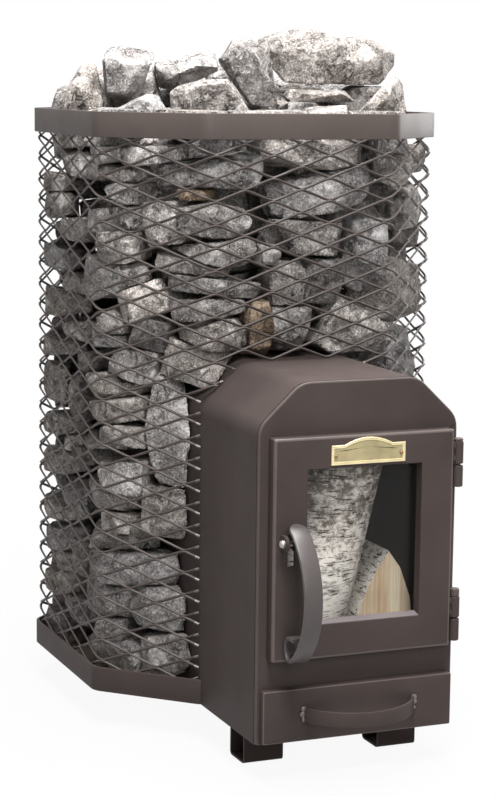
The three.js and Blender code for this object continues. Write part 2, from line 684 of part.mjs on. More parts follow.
function addDoorPanel() {
  const back = BOX_FRONT - DOOR_SEAT;
  const skin = DOOR_FRONT + DOOR_SHEET;
  const tray = solid(block([-DOOR_HALF, DOOR_HALF], [DOOR_FRONT, back], [DOOR_BOTTOM, DOOR_TOP]));
  const pocket = block(
    [-DOOR_HALF + DOOR_SHEET, DOOR_HALF - DOOR_SHEET], [skin, BOX_FRONT],
    [DOOR_BOTTOM + DOOR_SHEET, DOOR_TOP - DOOR_SHEET],
  );
  const flange = block(
    [-WINDOW_HALF - DOOR_SHEET, WINDOW_HALF + DOOR_SHEET],
    [DOOR_FRONT + DOOR_SHEET / 2, DOOR_FRONT + WINDOW_FLANGE_DEPTH],
    [WINDOW_BOTTOM - DOOR_SHEET, WINDOW_TOP + DOOR_SHEET],
  );
  const pane = block(
    [-WINDOW_HALF, WINDOW_HALF], [DOOR_FRONT - DOOR_SHEET, BOX_FRONT], [WINDOW_BOTTOM, WINDOW_TOP],
  );
  const slot = block(
    [HANDLE_X - SLOT_HALF_WIDTH, HANDLE_X + SLOT_HALF_WIDTH],
    [DOOR_FRONT - DOOR_SHEET, skin + DOOR_SHEET / 2], [SLOT_BOTTOM, SLOT_TOP],
  );
  const folded = tray.subtract(solid(pocket)).add(solid(flange));
  const panel = folded.subtract(solid(pane)).subtract(solid(slot));
  addPiece('door_panel', geometryOf(panel), 'paint');
}

function addDoorGlazing() {
  const glassFront = DOOR_FRONT + WINDOW_FLANGE_DEPTH + GAP;
  const glassBack = glassFront + GLASS_THICKNESS;
  const glass = block(
    [-WINDOW_HALF - GLASS_LAP, WINDOW_HALF + GLASS_LAP], [glassFront, glassBack],
    [WINDOW_BOTTOM - GLASS_LAP, WINDOW_TOP + GLASS_LAP],
  );
  addPiece('door_glass', glass, 'glass');

  const clampFront = glassBack + GAP;
  const clampBack = clampFront + CLAMP_SHEET;
  const skin = DOOR_FRONT + DOOR_SHEET + GAP;
  const clamps = { top: [WINDOW_TOP, 1], bottom: [WINDOW_BOTTOM, -1] };
  for (const [side, [edge, outward]] of Object.entries(clamps)) {
    const far = edge + outward * (CLAMP_LEG - CLAMP_SHEET);
    const profile = [
      point(clampFront, edge), point(clampBack, edge),
      point(clampBack, far + outward * CLAMP_SHEET), point(skin, far + outward * CLAMP_SHEET),
      point(skin, far), point(clampFront, far),
    ];
    addPiece(`glass_clamp_${side}`, sideways(outline(profile), -CLAMP_HALF, 2 * CLAMP_HALF), 'steel');
  }

  const edge = DOOR_SHEET + GAP;
  const inner = edge + SEAL_WIDTH;
  const ring = (inset) => rectangle(
    -DOOR_HALF + inset, DOOR_HALF - inset, DOOR_BOTTOM + inset, DOOR_TOP - inset,
  );
  const seal = standing(outline(ring(edge), [ring(inner)]), BOX_FRONT - GAP - SEAL_DEPTH, SEAL_DEPTH);
  addPiece('door_rope_seal', seal, 'rope');
}

function addNameplate() {
  const arch = new THREE.QuadraticBezierCurve(
    point(PLATE_ARCH_HALF, PLATE_END_HEIGHT),
    point(0, 2 * PLATE_ARCH_HEIGHT - PLATE_END_HEIGHT),
    point(-PLATE_ARCH_HALF, PLATE_END_HEIGHT),
  );
  const corners = [
    point(-PLATE_HALF, 0), point(PLATE_HALF, 0), point(PLATE_HALF, PLATE_END_HEIGHT),
    ...arch.getPoints(PLATE_ARCH_STEPS), point(-PLATE_HALF, PLATE_END_HEIGHT),
  ];
  const front = DOOR_FRONT - GAP - PLATE_THICKNESS;
  const plate = standing(outline(corners), front, PLATE_THICKNESS);
  addPiece('nameplate', plate.translate(PLATE_CENTRE, 0, PLATE_BOTTOM), 'brass');
  const crown = RIVET_RADIUS / Math.SQRT2;
  const dome = [[0, 0], [RIVET_RADIUS, 0], [crown, RIVET_DOME / Math.SQRT2], [0, RIVET_DOME]];
  const sides = { left: -1, right: 1 };
  for (const [side, sign] of Object.entries(sides)) {
    const rivet = addPiece(`nameplate_rivet_${side}`, turned(dome, RIVET_SIDES), 'copper');
    rivet.rotation.x = Math.PI / 2;
    const x = PLATE_CENTRE + sign * (PLATE_HALF - RIVET_INSET);
    rivet.position.set(x, front - GAP, PLATE_BOTTOM + RIVET_RISE);
  }
}

/** A turned barrel on the hinge axis, solid between two heights. */
function barrel(radius, [bottom, top]) {
  const profile = [[0, bottom], [radius, bottom], [radius, top], [0, top]];
  return turned(profile, HINGE_SIDES).translate(HINGE_X, HINGE_Y, 0);
}

/** A knuckle with its bore and the tab that is welded to what it carries. */
function knuckle([bottom, top], tab) {
  const bore = barrel(KNUCKLE_BORE, [bottom - HINGE_TAB, top + HINGE_TAB]);
  return geometryOf(joined([barrel(KNUCKLE_RADIUS, [bottom, top]), tab]).subtract(solid(bore)));
}

function addHinges() {
  const tabHalf = HINGE_TAB / 2;
  const weldReach = KNUCKLE_RADIUS - HINGE_WELD;
  for (const { level, cap, door, frame } of HINGES) {
    const doorTab = block(
      [DOOR_HALF + GAP, HINGE_X - weldReach], [HINGE_Y - tabHalf, HINGE_Y + tabHalf], door,
    );
    addPiece(`hinge_door_knuckle_${level}`, knuckle(door, doorTab), 'paint');
    const frameTab = block(
      [HINGE_X - tabHalf, HINGE_X + tabHalf], [HINGE_Y + weldReach, BOX_FRONT - GAP], frame,
    );
    addPiece(`hinge_frame_knuckle_${level}`, knuckle(frame, frameTab), 'paint');
    const pin = turned([
      [0, frame[0]], [PIN_RADIUS, frame[0]], [PIN_RADIUS, cap[0]],
      [HINGE_CAP_RADIUS, cap[0]], [HINGE_CAP_RADIUS, cap[1]], [0, cap[1]],
    ], HINGE_SIDES);
    addPiece(`hinge_pin_${level}`, pin.translate(HINGE_X, HINGE_Y, 0), 'bolt');
  }
}

// Door handle, its pivot and the latch

/** Point in Y and Z, given as a distance in front of the door and a height. */
const offDoor = (distance, height) => point(DOOR_FRONT - distance, height);

function addHandle() {
  const centre = HANDLE_BULGE - HANDLE_RADIUS;
  const bow = arc(centre, HANDLE_MIDDLE, HANDLE_RADIUS, HANDLE_TOP_ANGLE, HANDLE_FOOT_ANGLE, HANDLE_STEPS);
  const inward = HANDLE_RADIUS - HANDLE_LOOP_RADIUS;
  const [loop] = arc(centre, HANDLE_MIDDLE, inward, HANDLE_FOOT_ANGLE, 0, 1);
  const rise = loop.y + HANDLE_LOOP_SIDE;
  const line = [
    ...bow,
    ...arc(loop.x, loop.y, HANDLE_LOOP_RADIUS, HANDLE_FOOT_ANGLE, -180, LOOP_STEPS).slice(1),
    ...arc(loop.x, rise, HANDLE_LOOP_RADIUS, 180, 90, LOOP_STEPS),
    point(loop.x + HANDLE_LOOP_END, rise + HANDLE_LOOP_RADIUS),
  ].map((here) => offDoor(here.x, here.y));
  const left = HANDLE_X - HANDLE_WIDTH / 2;
  addPiece('door_handle', sideways(ribbon(line, HANDLE_BAR), left, HANDLE_WIDTH), 'paint');

  const pivot = offDoor(PIVOT_STANDOFF, PIVOT_HEIGHT);
  const pivotHole = arc(pivot.x, pivot.y, PIVOT_BORE, 0, 360, PIVOT_SIDES).slice(1);
  const weldRadius = HANDLE_RADIUS - HANDLE_BAR / 2 - 2 * GAP;
  const weld = arc(centre, HANDLE_MIDDLE, weldRadius, ...LEVER_WELD_ANGLES, LUG_STEPS);
  const eye = arc(PIVOT_STANDOFF, PIVOT_HEIGHT, LUG_RADIUS, ...LEVER_EYE_ANGLES, LUG_STEPS);
  const lever = [
    ...weld, ...eye, point(0, PIVOT_HEIGHT - TONGUE_HALF_HEIGHT),
    point(-TONGUE_REACH, PIVOT_HEIGHT - TONGUE_HALF_HEIGHT / 2),
    point(-TONGUE_REACH, PIVOT_HEIGHT + TONGUE_HALF_HEIGHT),
    point(0, PIVOT_HEIGHT + TONGUE_HALF_HEIGHT),
  ].map((here) => offDoor(here.x, here.y));
  const leverLeft = HANDLE_X - LEVER_THICKNESS / 2;
  addPiece('latch_lever', sideways(outline(lever, [pivotHole]), leverLeft, LEVER_THICKNESS), 'steel');

  const lug = [
    point(GAP, PIVOT_HEIGHT - LUG_RADIUS),
    ...arc(PIVOT_STANDOFF, PIVOT_HEIGHT, LUG_RADIUS, -90, 90, LUG_STEPS),
    point(GAP, PIVOT_HEIGHT + LUG_RADIUS),
  ].map((here) => offDoor(here.x, here.y));
  addPiece('handle_lug', sideways(outline(lug, [pivotHole]), LUG_OUTER, LUG_THICKNESS), 'paint');

  const head = LUG_OUTER - GAP;
  const nut = HANDLE_X + LEVER_THICKNESS / 2 + NUT_CLEARANCE;
  const crown = head - PIVOT_HEAD_LENGTH;
  const nutEnd = nut + NUT_LENGTH;
  const bolt = turned([
    [0, crown], [PIVOT_HEAD_RADIUS * PIVOT_HEAD_CROWN, crown], [PIVOT_HEAD_RADIUS, (crown + head) / 2],
    [PIVOT_HEAD_RADIUS, head], [PIVOT_RADIUS, head], [PIVOT_RADIUS, nut],
    [PIVOT_HEAD_RADIUS, nut], [PIVOT_HEAD_RADIUS, nutEnd], [0, nutEnd],
  ], PIVOT_SIDES);
  const boltMesh = addPiece('handle_bolt', bolt, 'bolt');
  boltMesh.rotation.y = Math.PI / 2;
  boltMesh.position.set(0, pivot.x, pivot.y);

  const catchBottom = PIVOT_HEIGHT + TONGUE_HALF_HEIGHT + CATCH_LIFT;
  const catchFront = PLATE_BACK + GAP;
  const keeper = block(
    [CATCH_OUTER, CATCH_INNER], [catchFront, catchFront + CATCH_DEPTH],
    [catchBottom, catchBottom + CATCH_HEIGHT],
  );
  addPiece('door_catch', keeper, 'steel');
}

// Ash drawer

function addDrawer() {
  const front = BOX_FRONT - GAP - DRAWER_FRONT_THICKNESS;
  const frontPlate = block(
    [-DRAWER_HALF, DRAWER_HALF], [front, BOX_FRONT - GAP], [DRAWER_BOTTOM, DRAWER_TOP],
  );
  addPiece('drawer_front', frontPlate, 'paint');

  const bottom = RING_BOTTOM + GAP + BOX_FLOOR_THICKNESS + GAP;
  const panSides = (inset, drop) => block(
    [-PAN_HALF + inset, PAN_HALF - inset], [BOX_FRONT + inset, BOX_FRONT + PAN_LENGTH - inset],
    [bottom + inset, PAN_TOP + drop],
  );
  const pan = solid(panSides(0, 0)).subtract(solid(panSides(PAN_SHEET, PAN_SHEET)));
  addPiece('ash_pan', geometryOf(pan), 'steel');

  const half = DRAWER_GRIP_HALF;
  const radius = (half * half + DRAWER_GRIP_BULGE ** 2) / (2 * DRAWER_GRIP_BULGE);
  const sweep = THREE.MathUtils.radToDeg(Math.asin(half / radius));
  const face = front - GAP - DRAWER_GRIP_BAR / 2;
  const middle = face - DRAWER_GRIP_BULGE + radius;
  const bow = arc(0, middle, radius, -90 - sweep, -90 + sweep, DRAWER_GRIP_STEPS);
  const grip = ribbon(bow, DRAWER_GRIP_BAR);
  const gripBottom = DRAWER_GRIP_HEIGHT - DRAWER_GRIP_WIDTH / 2;
  addPiece('drawer_handle', lying(grip, gripBottom, DRAWER_GRIP_WIDTH), 'paint');
}

// Stones

/** A number between 0 and 1 that depends only on its seed. */
function chance(seed) {
  const wave = Math.sin(seed * CHANCE_RATE) * CHANCE_SCALE;
  return wave - Math.floor(wave);
}

/** A number between two limits that depends only on its seed. */
const drawn = (seed, [low, high]) => low + (high - low) * chance(seed);

const ENDS = [-1, 1];
const SIGNS = ENDS.flatMap((x) => ENDS.flatMap((y) => ENDS.map((z) => new THREE.Vector3(x, y, z))));
const UP = new THREE.Vector3(0, 0, 1);

/** The three axes of a turn. */
const axesOf = (turn) => [0, 1, 2].map((axis) => new THREE.Vector3().setFromMatrixColumn(turn, axis));

/** A stone: a block or outline that it is cut from, its corners and axes, and the sides that bound it. */
function newStone(node, middle, size, turn, blank, corners, ways) {
  return {
    node, middle, half: size.clone().multiplyScalar(0.5), axes: axesOf(turn), ways, sides: [],
    body: solid(blank.applyMatrix4(turn).translate(middle.x, middle.y, middle.z)),
    corners: corners.map((corner) => corner.clone().applyMatrix4(turn)),
  };
}

/** A stone cut from a block: its sides lean and, where it shows, its corners are cut off by chance. */
function roughStone(node, middle, size, turn, seed, isShown = true) {
  const half = size.clone().multiplyScalar(0.5);
  const corners = SIGNS.map((sign) => sign.clone().multiply(half));
  const blank = new THREE.BoxGeometry(size.x, size.y, size.z);
  const stone = newStone(node, middle, size, turn, blank, corners, axesOf(turn));
  for (let axis = 0; axis < 3; axis += 1) {
    for (const end of ENDS) {
      const own = seed + axis * 2 + end * 0.5;
      const lean = [0.1, 0.2, 0.3].map((step) => STONE_LEAN * (2 * chance(own + step) - 1));
      const way = new THREE.Vector3(...lean).setComponent(axis, end).transformDirection(turn);
      stone.sides.push({ way, far: half.getComponent(axis) * drawn(own + 0.4, STONE_SIDE) });
    }
  }
  SIGNS.forEach((sign, i) => {
    if (!isShown) return;
    const own = seed + 10 + i;
    const skew = [0.1, 0.2, 0.3].map((step) => 0.6 + 0.8 * chance(own + step));
    const way = sign.clone().divide(half).multiply(new THREE.Vector3(...skew)).normalize();
    const corner = way.dot(sign.clone().multiply(half));
    stone.sides.push({ way: way.transformDirection(turn), far: corner * drawn(own + 0.4, STONE_CUT) });
  });
  return stone;
}

/** Bounds a stone in one direction by broken faces that lean away from it. */
function breakFace(stone, way, far, seed) {
  const across = new THREE.Vector3().crossVectors(way, UP).normalize();
  const rise = new THREE.Vector3().crossVectors(across, way);
  for (let i = 0; i < FACE_COUNT; i += 1) {
    const turn = 2 * Math.PI * (chance(seed) + i / FACE_COUNT);
    const lean = drawn(seed + i + 0.1, FACE_LEAN);
    const facing = way.clone().addScaledVector(across, lean * Math.cos(turn));
    facing.addScaledVector(rise, lean * Math.sin(turn)).normalize();
    stone.sides.push({ way: facing, far: far * drawn(seed + i + 0.2, FACE_REACH) });
  }
}

/** A place in the heap, given across and away as seen from the front left. */
function seat(across, away, height) {
  const x = across * Math.cos(VIEW_TURN) + away * Math.sin(VIEW_TURN);
  const y = -across * Math.sin(VIEW_TURN) + away * Math.cos(VIEW_TURN);
  return new THREE.Vector3(x, y, height);
}

/** A stone from its outline in the heap: each edge leans to the front and to the back. */
function outlinedStone(node, { away, deep, corners }, seed) {
  const flat = corners.map(([across, height]) => point(across, height));
  const box = new THREE.Box2().setFromPoints(flat);
  const centre = box.getCenter(point(0, 0));
  const span = box.getSize(point(0, 0));
  flat.forEach((corner) => corner.sub(centre));
  const turn = new THREE.Matrix4().makeBasis(seat(1, 0, 0), seat(0, 1, 0), UP);
  const edges = flat.map((corner, i) => {
    const step = flat[(i + 1) % flat.length].clone().sub(corner);
    const out = point(-step.y, step.x).normalize();
    return { out, far: out.dot(corner) };
  });
  const size = new THREE.Vector3(span.x, deep, span.y);
  const ends = ENDS.flatMap((end) => flat.map(({ x, y }) => new THREE.Vector3(x, (end * deep) / 2, y)));
  const ways = edges.map(({ out }) => new THREE.Vector3(out.x, 0, out.y).transformDirection(turn));
  const blank = standing(new THREE.Shape(flat.toReversed()), -deep / 2, deep);
  const middle = seat(centre.x, away, centre.y);
  const stone = newStone(node, middle, size, turn, blank, ends, [...ways, seat(0, 1, 0)]);
  edges.forEach(({ out, far }, i) => {
    for (const end of ENDS) {
      const lean = drawn(seed + i + end * 0.2, EDGE_LEAN);
      const way = new THREE.Vector3(out.x, end * Math.tan(lean), out.y).transformDirection(turn);
      stone.sides.push({ way, far: far * Math.cos(lean) });
    }
  });
  ENDS.forEach((end, i) => breakFace(stone, seat(0, end, 0), deep / 2, seed + 20 + i * FACE_COUNT));
  return stone;
}

/** Inner sides of the cage between two heights. */
function cageSides(bottom, top) {
  const [, end] = octagon(CAGE_HALF - STONE_OUTER + STONE_INSET);
  const walls = Array.from({ length: 8 }, (_, i) => ({
    way: new THREE.Vector3(Math.cos((i * Math.PI) / 4), Math.sin((i * Math.PI) / 4), 0),
    far: i % 2 ? (end.x + end.y) * Math.SQRT1_2 : end.x,
  }));
  return [...walls, { way: UP.clone().negate(), far: -bottom }, { way: UP, far: top }];
}

/** Outer sides of the firebox. */
function boxSides() {
  const corners = houseCorners(STONE_BOX_ROOM);
  const sides = corners.slice(1).map((corner, i) => {
    const edge = corner.clone().sub(corners[i]);
    const way = new THREE.Vector3(-edge.y, 0, edge.x).normalize();
    return { way, far: way.x * corner.x + way.z * corner.y };
  });
  const back = BOX_BACK + BACK_PLATE_THICKNESS + STONE_BOX_ROOM;
  return [...sides, { way: new THREE.Vector3(0, 1, 0), far: back }];
}

/** The side of the firebox that stands furthest in front of a place, and how far. */
function nearestBoxSide(place) {
  const sides = boxSides().map((side) => ({ ...side, room: side.way.dot(place) - side.far }));
  return sides.reduce((a, b) => (a.room > b.room ? a : b));
}

/** Direction and distance of a place from the flue, or none in front of it. */
function flueSide(place) {
  const out = new THREE.Vector3(place.x, 0, place.z - FLUE_HEIGHT);
  const room = place.y > 0 ? out.length() - FLUE_RADIUS - FLUE_CLEARANCE - STONE_GAP : Infinity;
  return { way: out.normalize(), room };
}

/** Distance from a place to the nearest of the sides around it. */
const roomInside = (place, sides) => Math.min(...sides.map(({ way, far }) => far - way.dot(place)));

/** Free distance round a place inside the cage. */
function freeRoom(place, sides) {
  return Math.min(roomInside(place, sides), nearestBoxSide(place).room, flueSide(place).room);
}

/** Distance from a place to the core of a stone. */
function coreDistance(stone, place) {
  const offset = place.clone().sub(stone.middle);
  const over = stone.axes.map((axis, i) => {
    return Math.max(0, Math.abs(axis.dot(offset)) - STONE_CORE * stone.half.getComponent(i));
  });
  return Math.hypot(...over);
}

/** How far a stone reaches in a direction. */
const reachOf = (stone, way) => Math.max(...stone.corners.map((corner) => corner.dot(way)));

/** Parts two stones where they come nearest to standing clear; stones of one bank press together there. */
function part(first, second) {
  const offset = second.middle.clone().sub(first.middle);
  const choices = [...first.ways, ...second.ways, offset.clone().normalize()].map((axis) => {
    const way = axis.dot(offset) < 0 ? axis.clone().negate() : axis;
    const apart = way.dot(offset);
    const mine = reachOf(first, way);
    const theirs = reachOf(second, way.clone().negate());
    return { way, apart, mine, theirs, room: apart - mine - theirs };
  });
  const best = choices.reduce((a, b) => (a.room > b.room ? a : b));
  if (best.room > STONE_GAP) return;
  const share = (best.apart * best.mine) / (best.mine + best.theirs);
  const gap = first.node === second.node ? -STONE_BITE : STONE_GAP;
  first.sides.push({ way: best.way, far: share - gap / 2 });
  second.sides.push({ way: best.way.clone().negate(), far: best.apart - share - gap / 2 });
}

/** Node that a stone inside the cage belongs to: high up one for all, else that of the nearest side. */
function bankOf(place) {
  const { way } = nearestBoxSide(place);
  if (way.x === 0 && way.y === 0) return 'stones_over_firebox';
  if (place.z > BOX_TOP + STONE_TOP_ROOM) return 'stones_over_firebox';
  if (way.y > 0) return 'stones_back';
  return way.x < 0 ? 'stones_left' : 'stones_right';
}

/** Stones seen on one face, given by the turn of its outward direction. */
function faceStones(rows, faceTurn, far, seed) {
  const out = new THREE.Vector3(Math.cos(faceTurn), Math.sin(faceTurn), 0);
  const along = new THREE.Vector3(-out.y, out.x, 0);
  return rows.map(([place, height, width, tall, depth, turnDegrees], i) => {
    const front = along.clone().multiplyScalar(place).addScaledVector(out, far).setZ(height);
    const behind = nearestBoxSide(front);
    const into = -behind.way.dot(out);
    const room = into > 0 ? behind.room / into : depth;
    const deep = Math.max(Math.min(depth, room), STONE_LEAST_DEPTH);
    const middle = front.clone().addScaledVector(out, -deep / 2);
    const size = new THREE.Vector3(width * STONE_GROWTH, deep, tall * STONE_GROWTH);
    const turn = new THREE.Matrix4().makeBasis(along, out.clone().negate(), UP);
    turn.multiply(new THREE.Matrix4().makeRotationY(-THREE.MathUtils.degToRad(turnDegrees)));
    const stone = roughStone(bankOf(middle), middle, size, turn, seed + i * SEED_STEP);
    breakFace(stone, out, deep / 2, seed + i * SEED_STEP + 30);
    return stone;
  });
}

/** Adds stones by chance, the largest first, where they are clear of all before them. */
function fillBetween(stones, fills, low, high, sides, nodeOf, seed) {
  const walls = sides.slice(0, 8);
  fills.forEach(({ size, tries, near }, step) => {
    for (let i = 0; i < tries; i += 1) {
      const own = seed + (step * tries + i) * SEED_STEP;
      const draw = [0.1, 0.2, 0.3].map((shift) => chance(own + shift));
      const place = new THREE.Vector3(...draw).multiply(high.clone().sub(low)).add(low);
      const wallRoom = roomInside(place, walls);
      const taken = stones.some((stone) => coreDistance(stone, place) < STONE_CLEAR * size);
      if (taken || wallRoom > near || freeRoom(place, sides) < STONE_CLEAR * size) continue;
      const sizes = STONE_PROPORTIONS.map((limits, axis) => size * drawn(own + 1 + axis, limits));
      const turn = new THREE.Matrix4().makeRotationFromEuler(new THREE.Euler(
        STONE_TURN * (chance(own + 4) - 0.5), STONE_TURN * (chance(own + 5) - 0.5), Math.PI * chance(own + 6),
      ));
      const isShown = wallRoom < STONE_SHOWN_ROOM;
      stones.push(roughStone(nodeOf(place), place, new THREE.Vector3(...sizes), turn, own + 7, isShown));
    }
  });
}

/** Bounds a stone by sides given from the middle of the stove. */
function bound(stone, sides) {
  for (const { way, far } of sides) stone.sides.push({ way, far: far - way.dot(stone.middle) });
}

/** The stone cut by all its sides. */
function cutStone(stone) {
  return stone.sides.reduce((body, { way, far }) => {
    const keep = way.clone().negate();
    return body.trimByPlane(keep.toArray(), -far - way.dot(stone.middle));
  }, stone.body);
}

/** Parts a list of stones from one another and adds each node's stones as a piece. */
function addStones(stones) {
  stones.forEach((first, i) => {
    for (const second of stones.slice(i + 1)) {
      const far = first.half.length() + second.half.length();
      if (first.middle.distanceTo(second.middle) < far) part(first, second);
    }
  });
  const groups = new Map();
  for (const stone of stones) {
    const body = cutStone(stone);
    if (body.volume() < STONE_LEAST_VOLUME) continue;
    groups.set(stone.node, [...(groups.get(stone.node) ?? []), body]);
  }
  for (const [node, bodies] of groups) {
    const bank = bodies.reduce((sum, body) => sum.add(body));
    addPiece(node, geometryOf(bank), 'stone');
  }
}

function addCageStones() {
  const sides = cageSides(STONE_BOTTOM, STONE_TOP);
  const stones = [
    ...faceStones(CORNER_STONES, -0.75 * Math.PI, sides[1].far, 1),
    ...faceStones(FRONT_STONES, -0.5 * Math.PI, sides[0].far, 1001),
    ...faceStones(LEFT_STONES, Math.PI, sides[0].far, 2001),
  ];
  const low = new THREE.Vector3(-STONE_OUTER, -STONE_OUTER, STONE_BOTTOM);
  const high = new THREE.Vector3(STONE_OUTER, STONE_OUTER, STONE_TOP);
  fillBetween(stones, STONE_FILL, low, high, sides, bankOf, 5000);
  for (const stone of stones) {
    bound(stone, sides);
    const { way, room } = nearestBoxSide(stone.middle);
    stone.sides.push({ way: way.clone().negate(), far: room });
    const flue = flueSide(stone.middle);
    if (flue.room < STONE_OUTER) stone.sides.push({ way: flue.way.negate(), far: flue.room });
  }
  addStones(stones);
}

function addHeap() {
  const sides = cageSides(HEAP_BASE, 2 * HEAP_BASE);
  const stones = [...HEAP_STONES, ...BED_STONES].map((entry, i) => {
    return outlinedStone(entry.name ?? 'heap_bed', entry, 3000 + i * SEED_STEP);
  });
  BED_BACK.forEach(([across, away, height, size], i) => {
    const turn = new THREE.Matrix4().makeRotationZ(-VIEW_TURN);
    const seed = 3500 + i * SEED_STEP;
    stones.push(roughStone('heap_bed', seat(across, away, height), new THREE.Vector3(...size), turn, seed));
  });
  const low = new THREE.Vector3(-STONE_OUTER, -STONE_OUTER, BED_HEIGHTS[0]);
  const high = new THREE.Vector3(STONE_OUTER, STONE_OUTER, BED_HEIGHTS[1]);
  fillBetween(stones, BED_FILL, low, high, sides.slice(0, 8), () => 'heap_bed', 900000);
  for (const stone of stones) bound(stone, sides);
  addStones(stones);
}

// Firewood

function addFirewood() {
  const round = arc(0, 0, LOG_RADIUS, ...LOG_BARK_ANGLES, LOG_STEPS);
  const split = arc(0, -LOG_RADIUS / 2, LOG_RADIUS, ...LOG_SPLIT_ANGLES, LOG_SPLIT_STEPS);
  const log = lying(new THREE.Shape([...round, ...split]), 0, LOG_LENGTH);
  const leaning = addPiece('log_leaning', log, 'bark');
  leaning.rotation.y = LOG_LEAN;
  const lift = LOG_RADIUS * Math.sin(LOG_LEAN);
  leaning.position.set(LOG_FOOT.x, LOG_FOOT.y, GRATE_TOP + GAP + lift);

  const bottom = GRATE_TOP + GAP;
  const heel = point(SPLIT_LOG_HEEL[0], bottom + SPLIT_LOG_HEEL[1]);
  const bark = new THREE.QuadraticBezierCurve(point(...SPLIT_LOG_APEX), point(...SPLIT_LOG_BULGE), heel);
  const side = SPLIT_LOG_SIDE.map((corner) => point(...corner));
  const end = [...bark.getPoints(LOG_STEPS), point(heel.x, bottom), ...side];
  addPiece('log_split', standing(new THREE.Shape(end), SPLIT_LOG_FRONT, SPLIT_LOG_LENGTH), 'wood');
}

addCageBands();
addMeshPanels();
addFirebox();
addFeet();
addDoorPanel();
addDoorGlazing();
addNameplate();
addHinges();
addHandle();
addDrawer();
addCageStones();
addHeap();
addFirewood();

export default stove;
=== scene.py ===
"""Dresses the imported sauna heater: a tunnel firebox standing in an octagonal mesh cage full of stones.

Sizes are millimetres on the stove's own axes: the door faces -y, y = 0 is the middle of the cage, the floor is
z = 0. A piece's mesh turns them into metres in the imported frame.
"""

import json
import logging
from collections.abc import Sequence
from dataclasses import dataclass, field
from enum import Enum
from math import cos, hypot, pi, radians, sin, sqrt, tan

import bmesh
import bpy
import numpy as np
from mathutils import Matrix, Vector
from numpy.typing import NDArray

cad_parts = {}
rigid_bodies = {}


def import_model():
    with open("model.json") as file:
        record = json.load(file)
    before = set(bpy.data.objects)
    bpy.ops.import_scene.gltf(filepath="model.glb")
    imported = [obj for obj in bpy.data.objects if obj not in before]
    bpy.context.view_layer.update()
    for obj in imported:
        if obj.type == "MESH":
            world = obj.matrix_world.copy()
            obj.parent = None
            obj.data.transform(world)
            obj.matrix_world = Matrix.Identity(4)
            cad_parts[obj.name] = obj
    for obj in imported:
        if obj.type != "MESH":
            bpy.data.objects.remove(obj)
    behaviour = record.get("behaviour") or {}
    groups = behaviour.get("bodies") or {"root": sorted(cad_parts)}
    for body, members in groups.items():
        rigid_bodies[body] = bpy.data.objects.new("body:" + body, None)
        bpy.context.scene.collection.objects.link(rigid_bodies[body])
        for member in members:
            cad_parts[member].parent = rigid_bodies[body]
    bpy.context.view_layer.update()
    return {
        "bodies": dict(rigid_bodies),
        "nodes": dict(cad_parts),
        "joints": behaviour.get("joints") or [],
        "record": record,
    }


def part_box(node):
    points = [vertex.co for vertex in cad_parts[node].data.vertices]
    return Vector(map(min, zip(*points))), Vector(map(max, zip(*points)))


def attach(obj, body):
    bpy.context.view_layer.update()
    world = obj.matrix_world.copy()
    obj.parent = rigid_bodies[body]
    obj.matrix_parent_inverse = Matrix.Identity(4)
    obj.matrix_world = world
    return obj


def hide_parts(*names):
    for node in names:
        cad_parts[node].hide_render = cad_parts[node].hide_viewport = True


Array = NDArray[np.float64]
Ints = NDArray[np.int64]
Colour = tuple[float, float, float]

LOG = logging.getLogger("stove")
MILLIMETRE = 0.001
SMOOTH_ANGLE = radians(32)
MERGE_DISTANCE = 1e-6


class Body(Enum):
    """Moving bodies of the stove."""

    STOVE = "stove"
    DOOR = "door"
    LATCH = "latch"
    DRAWER = "ash_drawer"


# Colours


def srgb(red: int, green: int, blue: int) -> Colour:
    """Linear colour of an eight-bit screen colour.

    Args:
        red, green, blue: Screen values from 0 to 255.

    Returns:
        Linear red, green and blue from 0 to 1.
    """
    values = np.array([red, green, blue]) / 255.0
    linear = np.where(values <= 0.04045, values / 12.92, ((values + 0.055) / 1.055) ** 2.4)
    return tuple(float(v) for v in linear)


def scaled(colour: Colour, factor: float) -> Colour:
    """A colour made lighter or darker by a factor."""
    return tuple(min(1.0, v * factor) for v in colour)


# Surfaces


def grid_quads(rows: int, columns: int, closed_rows: bool, closed_columns: bool) -> Ints:
    """Quads between the points of a grid that is numbered row by row.

    Args:
        rows, columns: Size of the grid.
        closed_rows: Whether the last row joins the first.
        closed_columns: Whether the last column joins the first.

    Returns:
        Corner numbers, four to a quad.
    """
    row = np.arange(rows if closed_rows else rows - 1)[:, None]
    column = np.arange(columns if closed_columns else columns - 1)[None, :]
    below, right = (row + 1) % rows, (column + 1) % columns
    corners = [row * columns + column, row * columns + right, below * columns + right, below * columns + column]
    return np.stack(corners, axis=-1).reshape(-1, 4)


